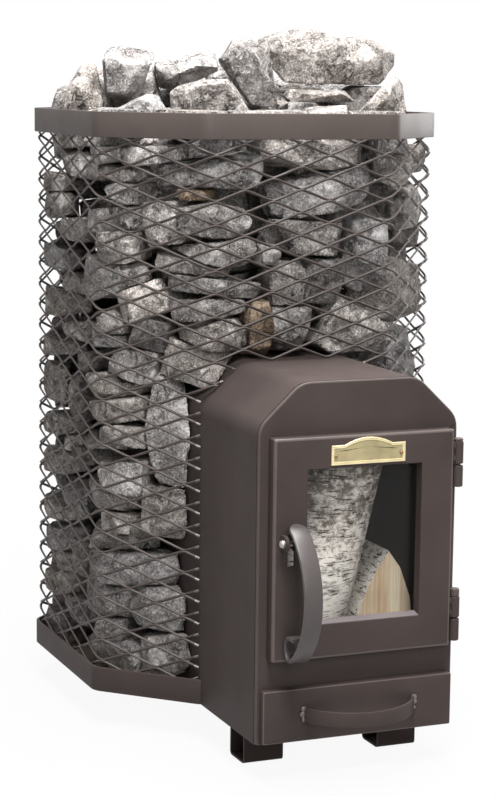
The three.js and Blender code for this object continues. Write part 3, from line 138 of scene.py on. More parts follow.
@dataclass
class Surface:
    """Points in millimetres, with faces of four and of three corners."""

    points: Array
    quads: Ints
    triangles: Ints = field(default_factory=lambda: np.empty((0, 3), dtype=np.int64))

    @classmethod
    def grid(
        cls, points: Array, closed_rows: bool = False, closed_columns: bool = True, ends: Array | None = None,
        capped: bool = False,
    ) -> "Surface":
        """A grid of points as a surface, with a fan of triangles over each open end.

        Args:
            points: Grid of points, rows by columns by three.
            closed_rows: Whether the last row joins the first.
            closed_columns: Whether the last column joins the first.
            ends: Tip of the fan over the first row and over the last row.
            capped: Whether the fans meet at the middle of their rows instead.

        Returns:
            The surface.
        """
        rows, columns = points.shape[:2]
        quads = grid_quads(rows, columns, closed_rows, closed_columns)
        flat = points.reshape(-1, 3)
        if capped:
            ends = np.stack([points[0].mean(axis=0), points[-1].mean(axis=0)])
        if ends is None:
            return cls(flat, quads)
        here = np.arange(columns)
        there = (here + 1) % columns
        first = np.stack([np.full(columns, rows * columns), there, here], axis=-1)
        last_row = (rows - 1) * columns
        last = np.stack([np.full(columns, rows * columns + 1), last_row + here, last_row + there], axis=-1)
        return cls(np.vstack([flat, ends]), quads, np.vstack([first, last]))

    @classmethod
    def join(cls, surfaces: Sequence["Surface"]) -> "Surface":
        """Several surfaces as one.

        Args:
            surfaces: Surfaces that keep their own points.

        Returns:
            One surface with the points and faces of all.
        """
        starts = np.cumsum([0] + [len(s.points) for s in surfaces[:-1]])
        return cls(
            np.vstack([s.points for s in surfaces]),
            np.vstack([s.quads + start for s, start in zip(surfaces, starts)]),
            np.vstack([s.triangles + start for s, start in zip(surfaces, starts)]),
        )


def rounded_rectangle(x0: float, x1: float, y0: float, y1: float, radius: float, steps: int = 5) -> Array:
    """Outline of a rectangle with round corners.

    Each corner is centre + radius * (cos a, sin a) for a quarter turn of a.

    Args:
        x0, x1, y0, y1: Limits of the rectangle.
        radius: Radius of the corners.
        steps: Spaces along each corner.

    Returns:
        Points in order, anticlockwise.
    """
    centres = np.array([[x1 - radius, y0 + radius], [x1 - radius, y1 - radius], [x0 + radius, y1 - radius],
                        [x0 + radius, y0 + radius]])
    angles = -pi / 2 + np.arange(4)[:, None] * pi / 2 + np.linspace(0, pi / 2, steps + 1)[None, :]
    arcs = np.stack([np.cos(angles), np.sin(angles)], axis=-1) * radius
    return (centres[:, None, :] + arcs).reshape(-1, 2)


def bent_line(corners: Array, reach: float, steps: int) -> Array:
    """A line through corners, each inner corner a quadratic curve.

    The curve is (1-t)^2 a + 2t(1-t) b + t^2 c, with b the corner and a, c at a reach along its sides.

    Args:
        corners: Corner points in order.
        reach: Length of side that each curve takes up.
        steps: Spaces along each curve.

    Returns:
        Points of the line.
    """
    inner, before, after = corners[1:-1], corners[:-2], corners[2:]
    start = inner + reach * (before - inner) / np.linalg.norm(before - inner, axis=1, keepdims=True)
    end = inner + reach * (after - inner) / np.linalg.norm(after - inner, axis=1, keepdims=True)
    t = np.linspace(0, 1, steps + 1)[None, :, None]
    curves = (1 - t) ** 2 * start[:, None] + 2 * t * (1 - t) * inner[:, None] + t**2 * end[:, None]
    return np.vstack([corners[:1], curves.reshape(-1, 2), corners[-1:]])


def side_normals(line: Array, closed: bool) -> Array:
    """Unit normals on the right of a flat line, mitred at its corners.

    Args:
        line: Points of the line.
        closed: Whether its end joins its start.

    Returns:
        One normal for each point, longer where a mitre asks for it.
    """
    if closed:
        step = np.roll(line, -1, axis=0) - line
        ahead = step / np.linalg.norm(step, axis=1, keepdims=True)
        behind = np.roll(ahead, 1, axis=0)
    else:
        step = np.diff(line, axis=0)
        unit = step / np.linalg.norm(step, axis=1, keepdims=True)
        ahead, behind = np.vstack([unit, unit[-1:]]), np.vstack([unit[:1], unit])
    normal = np.stack([ahead[:, 1] + behind[:, 1], -ahead[:, 0] - behind[:, 0]], axis=-1)
    normal /= np.linalg.norm(normal, axis=1, keepdims=True)
    lengthen = 1 / np.clip((normal * np.stack([ahead[:, 1], -ahead[:, 0]], axis=-1)).sum(axis=1), 0.5, 1)
    return normal * lengthen[:, None]


class Plane(Enum):
    """Planes that a flat line is drawn in, as the axes of its two values and of what stands on it."""

    LEVEL = (0, 1, 2)
    FRONT = (0, 2, 1)
    SIDE = (1, 2, 0)


def carried(line: Array, section: Array, plane: Plane, closed: bool, widths: Array | None = None) -> Surface:
    """A section carried along a flat line: point(u, v) = line(u) + section_0(v) * normal(u) + section_1(v) * up.

    Args:
        line: Points of the flat line.
        section: Points of the section, as distance along the normal and along the plane's third axis.
        plane: Plane that the line is drawn in.
        closed: Whether the line's end joins its start.
        widths: Scale of the section along the third axis at each point of the line.

    Returns:
        The surface, with flat ends where the line is open.
    """
    normals = side_normals(line, closed)
    flat = line[:, None, :] + normals[:, None, :] * section[None, :, :1]
    along = np.broadcast_to(section[None, :, 1], flat.shape[:2])
    if widths is not None:
        middle = section[:, 1].mean()
        along = middle + (along - middle) * widths[:, None]
    points = np.empty((*flat.shape[:2], 3))
    first, second, third = plane.value
    points[..., first], points[..., second], points[..., third] = flat[..., 0], flat[..., 1], along
    return Surface.grid(points, closed_rows=closed, capped=not closed)


def lofted(rings: Sequence[tuple[Array, float]], plane: Plane, closed: bool = False) -> Surface:
    """Outlines joined one to the next, each at its own depth.

    Args:
        rings: Outline with a steady number of points, and its place along the plane's third axis.
        plane: Plane that the outlines are drawn in.
        closed: Whether the last outline joins the first, as in a frame, instead of being capped.

    Returns:
        The surface.
    """
    first, second, third = plane.value
    points = np.empty((len(rings), len(rings[0][0]), 3))
    for row, (outline, depth) in enumerate(rings):
        points[row, :, first], points[row, :, second], points[row, :, third] = outline[:, 0], outline[:, 1], depth
    return Surface.grid(points, closed_rows=closed, capped=not closed)


def turned(profile: Array, sides: int, axis: int, centre: Sequence[float]) -> Surface:
    """A profile turned about an axis: point(u, v) = centre + height(u) * axis + radius(u) * (cos v, sin v).

    Args:
        profile: Radius and height pairs. A closed ring repeats its first pair at the end.
        sides: Number of sides.
        axis: Number of the axis, 0 for x.
        centre: Point that heights are counted from.

    Returns:
        The surface, closed at both ends.
    """
    angle = np.linspace(0, 2 * pi, sides, endpoint=False)
    points = np.empty((len(profile), sides, 3))
    points[..., axis] = profile[:, 1:]
    points[..., (axis + 1) % 3] = profile[:, :1] * np.cos(angle)
    points[..., (axis + 2) % 3] = profile[:, :1] * np.sin(angle)
    points += np.asarray(centre)
    if np.allclose(profile[0], profile[-1]):
        return Surface.grid(points[:-1], closed_rows=True)
    return Surface.grid(points, capped=True)


def directions(rings: int, spokes: int) -> Array:
    """Unit directions on rings between two poles, the poles last.

    The direction at (u, v) is (sin u cos v, sin u sin v, cos u).

    Args:
        rings: Number of rings between the poles.
        spokes: Number of directions on a ring.

    Returns:
        Directions, rings times spokes of them and two more.
    """
    u = np.linspace(0, pi, rings + 2)[1:-1, None]
    v = np.linspace(0, 2 * pi, spokes, endpoint=False)[None, :]
    ring = np.stack([np.sin(u) * np.cos(v), np.sin(u) * np.sin(v), np.cos(u) + 0 * v], axis=-1)
    return np.vstack([ring.reshape(-1, 3), [[0, 0, 1], [0, 0, -1]]])


def ripple(places: Array, rate: float, rng: np.random.Generator, waves: int = 7) -> Array:
    """Smooth unevenness between 0 and 1: a sum of sines along chance directions.

    Args:
        places: Points or directions.
        rate: Mean number of radians for each unit of distance.
        rng: Source of chance.
        waves: Number of sines.

    Returns:
        One value for each point.
    """
    axes = rng.normal(size=(waves, 3))
    axes *= rate * rng.uniform(0.6, 1.7, (waves, 1)) / np.linalg.norm(axes, axis=1, keepdims=True)
    phases = rng.uniform(0, 2 * pi, waves)
    return 0.5 + 0.5 * np.sin(places @ axes.T + phases).mean(axis=1) * sqrt(2)


def lump(centre: Sequence[float], radii: Sequence[float], seed: int, rings: int = 9, spokes: int = 14) -> Surface:
    """A weld bead: an ellipsoid whose radius is made uneven.

    Args:
        centre: Middle of the bead.
        radii: Radius along each axis.
        seed: Number that sets its shape.
        rings, spokes: Fineness of the grid.

    Returns:
        The surface.
    """
    rng = np.random.default_rng(seed)
    way = directions(rings, spokes)
    size = 0.78 + 0.3 * ripple(way, 4.0, rng)
    points = np.asarray(centre) + way * size[:, None] * np.asarray(radii)
    return Surface.grid(points[:-2].reshape(rings, spokes, 3), ends=points[-2:])


# Pieces


class Workshop:
    """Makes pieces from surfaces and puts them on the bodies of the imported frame."""

    def __init__(self, frame: dict) -> None:
        """Keeps the frame and finds how far the stove's own axes are from it."""
        self.nodes: dict[str, bpy.types.Object] = frame["nodes"]
        low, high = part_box("cage_rim")
        self.shift = np.array([0.0, (low.y + high.y) / 2 / MILLIMETRE, 0.0])

    def mesh(
        self, name: str, surface: Surface, marks: Ints | None = None, tints: Array | None = None,
        crease: float = SMOOTH_ANGLE,
    ) -> bpy.types.Mesh:
        """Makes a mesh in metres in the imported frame.

        Args:
            name: Name of the mesh.
            surface: Surface in millimetres.
            marks: Material number of each face.
            tints: Red, green and blue for each point.
            crease: Angle past which an edge is sharp.

        Returns:
            The mesh, closed, facing outwards and smooth between its edges.
        """
        mesh = bpy.data.meshes.new(name)
        points = (surface.points + self.shift) * MILLIMETRE
        mesh.from_pydata(points.tolist(), [], surface.quads.tolist() + surface.triangles.tolist())
        if marks is not None:
            mesh.polygons.foreach_set("material_index", marks.astype(np.int32))
        if tints is not None:
            layer = mesh.attributes.new("tint", "FLOAT_COLOR", "POINT")
            layer.data.foreach_set("color", np.hstack([tints, np.ones((len(tints), 1))]).ravel())
        tidy = bmesh.new()
        tidy.from_mesh(mesh)
        bmesh.ops.delete(tidy, geom=[v for v in tidy.verts if not v.link_faces], context="VERTS")
        bmesh.ops.remove_doubles(tidy, verts=tidy.verts, dist=MERGE_DISTANCE)
        bmesh.ops.recalc_face_normals(tidy, faces=tidy.faces)
        tidy.to_mesh(mesh)
        tidy.free()
        mesh.shade_smooth()
        mesh.set_sharp_from_angle(angle=crease)
        return mesh

    def place(
        self, name: str, mesh: bpy.types.Mesh, materials: Sequence[bpy.types.Material], body: Body, slot: str,
        stands_for: Sequence[str],
    ) -> bpy.types.Object:
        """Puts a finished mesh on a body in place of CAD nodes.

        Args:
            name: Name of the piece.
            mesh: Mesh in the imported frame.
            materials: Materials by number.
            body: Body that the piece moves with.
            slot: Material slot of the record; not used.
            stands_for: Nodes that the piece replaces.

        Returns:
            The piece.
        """
        for material in materials:
            mesh.materials.append(material)
        piece = bpy.data.objects.new(name, mesh)
        bpy.context.scene.collection.objects.link(piece)
        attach(piece, body.value)
        if stands_for:
            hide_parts(*stands_for)
        LOG.info("%s: %d faces on %s", name, len(mesh.polygons), body.value)
        return piece

    def add(
        self, name: str, surfaces: Surface | Sequence[Surface], material: bpy.types.Material, body: Body, slot: str,
        stands_for: Sequence[str],
    ) -> bpy.types.Object:
        """Makes a piece of one material from one or more surfaces.

        Args:
            name: Name of the piece.
            surfaces: Its surface or surfaces.
            material: Its material.
            body: Body that the piece moves with.
            slot: Material slot of the record; not used.
            stands_for: Nodes that the piece replaces.

        Returns:
            The piece.
        """
        whole = surfaces if isinstance(surfaces, Surface) else Surface.join(surfaces)
        return self.place(name, self.mesh(name, whole), [material], body, slot, stands_for)

    def ease(
        self, node: str, width: float, material: bpy.types.Material, body: Body, slot: str, segments: int = 2,
        worn: bpy.types.Material | None = None,
    ) -> bpy.types.Object:
        """Replaces a node by a copy of it with eased edges.

        Args:
            node: Name of the node.
            width: Width of the eased edges in millimetres.
            material: Material of the copy.
            body: Body that the copy moves with.
            slot: Material slot of the record; not used.
            segments: Faces across an eased edge.
            worn: Material of the eased edges, where it is another one: a lighter paint as a painted highlight along the
                edges.

        Returns:
            The piece.
        """
        mesh = self.nodes[node].data.copy()
        mesh.materials.clear()
        tidy = bmesh.new()
        tidy.from_mesh(mesh)
        bmesh.ops.remove_doubles(tidy, verts=tidy.verts, dist=MERGE_DISTANCE)
        bmesh.ops.dissolve_limit(tidy, angle_limit=radians(1), verts=tidy.verts, edges=tidy.edges)
        bmesh.ops.recalc_face_normals(tidy, faces=tidy.faces)
        tidy.to_mesh(mesh)
        tidy.free()
        mesh.shade_smooth()
        mesh.set_sharp_from_angle(angle=SMOOTH_ANGLE)
        piece = self.place(f"{node}_eased", mesh, [material, worn] if worn else [material], body, slot, [node])
        bevel = piece.modifiers.new("eased_edges", "BEVEL")
        # painted highlight: the bevel faces take the second, lighter material where one is given
        bevel.material = 1 if worn else 0
        bevel.width = width * MILLIMETRE
        bevel.segments = segments
        bevel.limit_method = "ANGLE"
        bevel.angle_limit = radians(40)
        bevel.harden_normals = True
        return piece

    def dress(self, node: str, material: bpy.types.Material) -> None:
        """Gives a node that stays in view its material."""
        mesh = self.nodes[node].data
        mesh.materials.clear()
        mesh.materials.append(material)
        LOG.info("%s: dressed with %s", node, material.name)


# Finishes


class Graph:
    """A material's nodes, with short calls to add and join them."""

    def __init__(self, name: str) -> None:
        """Starts a material with a surface shader and object coordinates."""
        self.material = bpy.data.materials.new(name)
        self.material.use_nodes = True
        self.tree = self.material.node_tree
        self.shader = self.tree.nodes["Principled BSDF"]
        self.place = self.tree.nodes.new("ShaderNodeTexCoord").outputs["Object"]

    def node(self, kind: str, inputs: dict | None = None, **settings: object) -> bpy.types.Node:
        """Adds a node.

        Args:
            kind: Node type without its "ShaderNode" prefix.
            inputs: Values or outputs by socket name or number.
            settings: Properties of the node.

        Returns:
            The node.
        """
        made = self.tree.nodes.new(f"ShaderNode{kind}")
        for key, value in settings.items():
            setattr(made, key, value)
        for key, value in (inputs or {}).items():
            self.feed(made.inputs[key], value)
        return made

    def feed(self, socket: bpy.types.NodeSocket, value: object) -> None:
        """Joins an output to a socket, or sets the socket's own value."""
        if isinstance(value, bpy.types.NodeSocket):
            self.tree.links.new(value, socket)
        elif isinstance(value, tuple) and len(value) == 3 and socket.type == "RGBA":
            socket.default_value = (*value, 1.0)
        else:
            socket.default_value = value

    def set(self, **values: object) -> None:
        """Sets sockets of the surface shader, named with _ for a space."""
        for key, value in values.items():
            self.feed(self.shader.inputs[key.replace("_", " ")], value)

    def stretched(self, scale: Colour, turn: Colour = (0.0, 0.0, 0.0)) -> bpy.types.NodeSocket:
        """Object coordinates stretched and turned by a mapping."""
        return self.node("Mapping", {"Vector": self.place, "Scale": scale, "Rotation": turn}).outputs["Vector"]

    def noise(
        self, scale: float, detail: float = 3.0, roughness: float = 0.5, place: bpy.types.NodeSocket | None = None,
    ) -> bpy.types.NodeSocket:
        """Cloudy pattern between 0 and 1."""
        inputs = {"Vector": place or self.place, "Scale": scale, "Detail": detail, "Roughness": roughness}
        return self.node("TexNoise", inputs).outputs["Fac"]

    def cells(self, scale: float, place: bpy.types.NodeSocket | None = None, edges: bool = False) -> bpy.types.NodeSocket:
        """Pattern of cells: distance to their middles, or to their edges."""
        feature = "DISTANCE_TO_EDGE" if edges else "F1"
        inputs = {"Vector": place or self.place, "Scale": scale}
        return self.node("TexVoronoi", inputs, feature=feature).outputs["Distance"]

    def ramp(self, value: bpy.types.NodeSocket, stops: Sequence[tuple[float, Colour]]) -> bpy.types.NodeSocket:
        """Colours along a value.

        Args:
            value: Value between 0 and 1.
            stops: Places and colours in order, two or more.

        Returns:
            The colour.
        """
        made = self.node("ValToRGB", {"Fac": value})
        ramp = made.color_ramp
        for _ in stops[2:]:
            ramp.elements.new(0.5)
        for element, (place, colour) in zip(ramp.elements, stops):
            element.position = place
            element.color = (*colour, 1.0)
        return made.outputs["Color"]

    def span(
        self, value: bpy.types.NodeSocket, low: float, high: float, start: float = 0.0, end: float = 1.0,
    ) -> bpy.types.NodeSocket:
        """A value spread from start..end to low..high."""
        inputs = {"Value": value, "From Min": start, "From Max": end, "To Min": low, "To Max": high}
        return self.node("MapRange", inputs).outputs["Result"]

    def mix(
        self, factor: object, first: object, second: object, blend: str = "MIX",
    ) -> bpy.types.NodeSocket:
        """Two colours blended by a factor."""
        made = self.node("Mix", data_type="RGBA", blend_type=blend)
        self.feed(made.inputs[0], factor)
        self.feed(made.inputs[6], first)
        self.feed(made.inputs[7], second)
        return made.outputs[2]

    def maths(self, operation: str, first: object, second: object = 0.0) -> bpy.types.NodeSocket:
        """One sum on two values."""
        return self.node("Math", {0: first, 1: second}, operation=operation).outputs["Value"]

    def bump(self, *layers: tuple[bpy.types.NodeSocket, float, float]) -> None:
        """Gives the shader bumps.

        Args:
            layers: Height pattern, strength, and depth in millimetres of each layer.
        """
        normal = None
        for height, strength, depth in layers:
            inputs = {"Height": height, "Strength": strength, "Distance": depth * MILLIMETRE}
            if normal is not None:
                inputs["Normal"] = normal
            normal = self.node("Bump", inputs).outputs["Normal"]
        self.feed(self.shader.inputs["Normal"], normal)


@dataclass(frozen=True)
class Paint:
    """Matte heat-proof paint with a soft mottle and a fine grain."""

    name: str
    colour: Colour
    roughness: float = 0.5
    grain: float = 0.12
    metallic: float = 0.0
    specular: float = 0.07

    def material(self) -> bpy.types.Material:
        """Builds the material."""
        g = Graph(self.name)
        mottle = g.noise(7.0, 5.0, 0.6)
        grain = g.noise(900.0, 2.0, 0.6)
        cloud = g.ramp(mottle, [(0.3, scaled(self.colour, 0.86)), (0.7, scaled(self.colour, 1.14))])
        speck = g.ramp(grain, [(0.35, (0.8, 0.8, 0.8)), (0.7, (1.18, 1.18, 1.18))])
        colour = g.mix(self.grain * 4, cloud, speck, "MULTIPLY")
        g.set(Base_Color=colour, Metallic=self.metallic, Specular_IOR_Level=self.specular)
        g.set(Roughness=g.span(g.noise(30.0, 4.0, 0.6), self.roughness - 0.07, self.roughness + 0.08))
        g.bump((grain, self.grain, 0.35), (g.noise(60.0, 3.0), 0.08, 1.0))
        return g.material


@dataclass(frozen=True)
class Metal:
    """Bare metal with fine scratches and cloudy wear."""

    name: str
    colour: Colour
    roughness: float = 0.32
    wear: float = 0.3
    dents: float = 0.1
    metallic: float = 1.0

    def material(self) -> bpy.types.Material:
        """Builds the material."""
        g = Graph(self.name)
        cloud = g.noise(40.0, 5.0, 0.65)
        scratch = g.noise(60.0, 3.0, 0.6, g.stretched((1.0, 1.0, 14.0)))
        dark = scaled(self.colour, 1 - self.wear)
        g.set(Base_Color=g.ramp(cloud, [(0.3, dark), (0.65, self.colour)]), Metallic=self.metallic)
        g.set(Roughness=g.span(scratch, self.roughness - 0.08, self.roughness + 0.16))
        g.bump((scratch, 0.1, 0.3), (g.cells(220.0), self.dents, 0.6))
        return g.material


@dataclass(frozen=True)
class Soot:
    """Iron or brick-dark steel with burnt patches."""

    name: str
    colour: Colour
    rust: Colour = (0.05, 0.03, 0.02)

    def material(self) -> bpy.types.Material:
        """Builds the material."""
        g = Graph(self.name)
        patch = g.noise(14.0, 6.0, 0.65)
        stops = [(0.32, scaled(self.colour, 0.55)), (0.55, self.colour), (0.75, self.rust)]
        g.set(Base_Color=g.ramp(patch, stops), Specular_IOR_Level=0.2, Roughness=g.span(patch, 0.6, 0.9))
        g.bump((g.noise(260.0, 4.0, 0.7), 0.35, 0.6), (patch, 0.1, 1.0))
        return g.material


@dataclass(frozen=True)
class Pane:
    """Clear heat-proof glass with a faint haze."""

    name: str
    haze: float = 0.11

    def material(self) -> bpy.types.Material:
        """Builds the material."""
        g = Graph(self.name)
        smear = g.noise(9.0, 5.0, 0.7, g.stretched((1.0, 1.0, 0.4)))
        g.set(Base_Color=(0.03, 0.028, 0.026), Roughness=0.04, IOR=1.48, Specular_IOR_Level=0.9)
        g.set(Alpha=g.span(smear, self.haze * 0.6, self.haze * 1.5))
        return g.material


@dataclass(frozen=True)
class Rope:
    """Woven glass rope."""

    name: str
    colour: Colour

    def material(self) -> bpy.types.Material:
        """Builds the material."""
        g = Graph(self.name)
        fuzz = g.noise(420.0, 4.0, 0.7)
        g.set(Base_Color=g.ramp(fuzz, [(0.3, scaled(self.colour, 0.5)), (0.7, self.colour)]), Roughness=0.95)
        g.bump((fuzz, 0.5, 0.8))
        return g.material


@dataclass(frozen=True)
class Rock:
    """Broken granite: dark and light crystals, light flecks that also stand in for painted glints, chipped faces, and a
    tint of its own for each stone.
    """

    name: str
    dark: Colour
    middle: Colour
    light: Colour

    @staticmethod
    def chips(g: Graph, place: bpy.types.NodeSocket, scale: float) -> bpy.types.NodeSocket:
        """Height of chipped faces: in each cell (p - cell) . lean, with a lean of the cell's own.

        Args:
            g: Graph of the material.
            place: Coordinates.
            scale: Number of cells to a metre.

        Returns:
            The height in metres.
        """
        cell = g.node("TexVoronoi", {"Vector": place, "Scale": scale})
        lean = g.node("VectorMath", {0: cell.outputs["Color"], 1: (0.5, 0.5, 0.5)}, operation="SUBTRACT")
        offset = g.node("VectorMath", {0: place, 1: cell.outputs["Position"]}, operation="SUBTRACT")
        inputs = {0: lean.outputs["Vector"], 1: offset.outputs["Vector"]}
        return g.node("VectorMath", inputs, operation="DOT_PRODUCT").outputs["Value"]

    def material(self) -> bpy.types.Material:
        """Builds the material."""
        g = Graph(self.name)
        warp = g.node("TexNoise", {"Vector": g.place, "Scale": 42.0, "Detail": 4.0, "Roughness": 0.6}).outputs["Color"]
        bent = g.mix(0.022, g.place, warp, "ADD")
        grains = g.noise(330.0, 4.0, 0.8)
        cloud = g.noise(26.0, 6.0, 0.65, bent)
        base = g.ramp(cloud, [(0.34, scaled(self.middle, 0.42)), (0.5, self.middle), (0.66, scaled(self.light, 0.95))])
        salt = g.ramp(grains, [(0.36, self.dark), (0.5, self.middle), (0.64, self.light)])
        mixed = g.mix(0.5, base, salt)
        # light crystal flecks, which also stand in for painted glints on the broken faces
        crystal_and_glint_specks = g.span(g.cells(420.0, bent), 1.0, 0.0, 0.12, 0.26)
        flecked_with_crystals_and_glints = g.mix(g.maths("MULTIPLY", crystal_and_glint_specks, 0.5), mixed, self.light)
        tint = g.node("Attribute", attribute_name="tint").outputs["Color"]
        g.set(Base_Color=g.mix(1.0, flecked_with_crystals_and_glints, tint, "MULTIPLY"), Roughness=g.span(grains, 0.65, 0.9))
        g.set(Specular_IOR_Level=0.15)
        g.bump(
            (self.chips(g, bent, 30.0), 1.0, 1700.0), (self.chips(g, bent, 95.0), 0.8, 1200.0),
            (g.noise(120.0, 6.0, 0.75, bent), 0.6, 5.0), (grains, 0.6, 1.4),
        )
        return g.material


@dataclass(frozen=True)
class Bark:
    """Birch bark: pale paper with dark slits across the trunk and grey patches, greyer towards its top as painted
    shade.
    """

    name: str
    pale: Colour
    grey: Colour
    slit: Colour
    lean: float

    def material(self) -> bpy.types.Material:
        """Builds the material."""
        g = Graph(self.name)
        turn = (0.0, -self.lean, 0.0)
        slits = g.noise(1.0, 3.0, 0.65, g.stretched((60.0, 60.0, 430.0), turn))
        scars = g.noise(1.0, 6.0, 0.75, g.stretched((24.0, 24.0, 110.0), turn))
        patch = g.noise(64.0, 8.0, 0.82)
        height = g.node("SeparateXYZ", {0: g.place}).outputs["Z"]
        # painted shade: the grey patches spread further towards the top of the log, which lies in shadow
        patch_and_top_shade = g.maths("ADD", patch, g.span(height, 0.1, -0.1, 0.22, 0.42))
        paper = g.ramp(patch_and_top_shade, [(0.4, scaled(self.grey, 0.35)), (0.46, self.grey), (0.54, self.pale)])
        worn = g.mix(g.span(scars, 0.0, 0.75, 0.53, 0.63), paper, scaled(self.grey, 0.45))
        colour = g.mix(g.span(slits, 0.0, 0.95, 0.55, 0.62), worn, self.slit)
        g.set(Base_Color=colour, Roughness=0.8, Specular_IOR_Level=0.2)
        g.bump((slits, 0.4, 1.2), (patch, 0.5, 2.0))
        return g.material


@dataclass(frozen=True)
class SplitWood:
    """Freshly split wood: long fibres and darker growth bands."""

    name: str
    pale: Colour
    dark: Colour

    def material(self) -> bpy.types.Material:
        """Builds the material."""
        g = Graph(self.name)
        fibres = g.noise(1.0, 4.0, 0.6, g.stretched((420.0, 420.0, 12.0)))
        bands = g.noise(1.0, 3.0, 0.5, g.stretched((45.0, 45.0, 4.0)))
        wood = g.mix(0.5, g.ramp(fibres, [(0.35, self.dark), (0.6, self.pale)]), g.ramp(bands, [(0.3, self.dark), (0.6, self.pale)]))
        g.set(Base_Color=wood, Roughness=0.75, Specular_IOR_Level=0.2)
        g.bump((fibres, 0.35, 0.8))
        return g.material


@dataclass
class Finishes:
    """All materials of the stove, made once."""

    paint: bpy.types.Material = field(init=False)
    rim: bpy.types.Material = field(init=False)
    mesh: bpy.types.Material = field(init=False)
    tip: bpy.types.Material = field(init=False)
    handle: bpy.types.Material = field(init=False)
    weld: bpy.types.Material = field(init=False)
    edge: bpy.types.Material = field(init=False)
    sill: bpy.types.Material = field(init=False)
    steel: bpy.types.Material = field(init=False)
    bolt: bpy.types.Material = field(init=False)
    brass: bpy.types.Material = field(init=False)
    patina: bpy.types.Material = field(init=False)
    copper: bpy.types.Material = field(init=False)
    soot: bpy.types.Material = field(init=False)
    iron: bpy.types.Material = field(init=False)
    glass: bpy.types.Material = field(init=False)
    rope: bpy.types.Material = field(init=False)
    rock: bpy.types.Material = field(init=False)
    bark: bpy.types.Material = field(init=False)
    wood: bpy.types.Material = field(init=False)

    def __post_init__(self) -> None:
        """Builds each material from its finish."""
        self.paint = Paint("brown_black_paint", srgb(65, 57, 55)).material()
        self.rim = Paint("rim_paint", srgb(75, 67, 64), roughness=0.46, specular=0.14).material()
        self.mesh = Paint("mesh_paint", srgb(68, 61, 58), roughness=0.45, specular=0.22).material()
        self.tip = Metal("cut_wire", srgb(114, 107, 103), roughness=0.45, wear=0.2, metallic=0.4).material()
        self.handle = Paint("handle_paint", srgb(70, 64, 63), roughness=0.34, specular=0.4).material()
        self.weld = Paint("weld_bead", srgb(98, 89, 86), roughness=0.26, grain=0.2, specular=0.5).material()
        # painted highlight: a lighter paint on the rounded edges of the door and the drawer front stands in for light
        # caught along them
        self.edge = Paint("painted_edge_highlight", srgb(84, 75, 72), roughness=0.4, specular=0.25).material()
        # painted highlight: a light grey paint for the strip at the foot of the window stands in for its lit lower
        # reveal
        self.sill = Paint("painted_sill_highlight", srgb(120, 112, 113), roughness=0.36, specular=0.3).material()
        self.steel = Metal("inner_steel", srgb(92, 86, 82), roughness=0.45, wear=0.5).material()
        self.bolt = Metal("bright_bolt", srgb(176, 172, 166)).material()
        self.brass = Metal("pale_brass", srgb(222, 208, 166), roughness=0.34, wear=0.2, dents=0.1, metallic=0.4).material()
        self.patina = Metal("dull_brass", srgb(168, 156, 118), roughness=0.45, wear=0.3, dents=0.1, metallic=0.4).material()
        self.copper = Metal("copper_rivet", srgb(138, 104, 80), roughness=0.4, metallic=0.5).material()
        # painted light: the pale colour of the burnt steel inside the firebox stands in for light reaching it; its
        # burnt patches are its own
        self.soot = Soot("burnt_steel_painted_light", srgb(206, 190, 176), rust=srgb(164, 142, 124)).material()
        self.iron = Soot("grate_iron", srgb(44, 41, 40), rust=srgb(70, 48, 36)).material()
        self.glass = Pane("door_glass").material()
        self.rope = Rope("seal_rope", srgb(84, 82, 78)).material()
        self.rock = Rock("granite", srgb(38, 35, 33), srgb(133, 127, 123), srgb(230, 225, 221)).material()
        self.bark = Bark("birch_bark", srgb(248, 242, 232), srgb(186, 176, 165), srgb(66, 56, 50), radians(13.8)).material()
        self.wood = SplitWood("split_birch", srgb(255, 240, 210), srgb(214, 176, 132)).material()


# Cage


@dataclass(frozen=True)
class Octagon:
    """Outline of the cage: a square with its corners cut off, measured from the middle of its front."""

    half: float = 262.0
    corner: float = 120.0
    bend: float = 12.0
    steps: int = 6

    def line(self, inset: float) -> Array:
        """Closed outline with round bends, drawn in by an inset.

        Args:
            inset: Distance inwards.

        Returns:
            Points from the middle of the front, towards +x first.
        """
        half = self.half - inset
        near = half - (self.corner - inset * (2 - sqrt(2)))
        corners = np.array([
            [0, -half], [near, -half], [half, -near], [half, near], [near, half],
            [-near, half], [-half, near], [-half, -near], [-near, -half], [0, -half],
        ])
        return bent_line(corners, self.bend, self.steps)[:-1]

    def walk(self, inset: float) -> tuple[Array, Array, float]:
        """Distances, points and whole length of the outline.

        Args:
            inset: Distance inwards.

        Returns:
            Distance of each point, the points with the first repeated last, and the length.
        """
        line = self.line(inset)
        ring = np.vstack([line, line[:1]])
        lengths = np.linalg.norm(np.diff(ring, axis=0), axis=1)
        distance = np.concatenate([[0], np.cumsum(lengths)])
        return distance, ring, float(distance[-1])

    def at(self, distances: Array, inset: float) -> tuple[Array, Array]:
        """Points and outward normals at distances along the outline.

        Args:
            distances: Distances from the middle of the front, towards +x.
            inset: Distance inwards.

        Returns:
            Points and unit normals.
        """
        known, ring, length = self.walk(inset)

        def point(s: Array) -> Array:
            wrapped = np.mod(s, length)
            return np.stack([np.interp(wrapped, known, ring[:, 0]), np.interp(wrapped, known, ring[:, 1])], axis=-1)

        step = point(distances + 1.5) - point(distances - 1.5)
        step /= np.linalg.norm(step, axis=1, keepdims=True)
        return point(distances), np.stack([step[:, 1], -step[:, 0]], axis=-1)


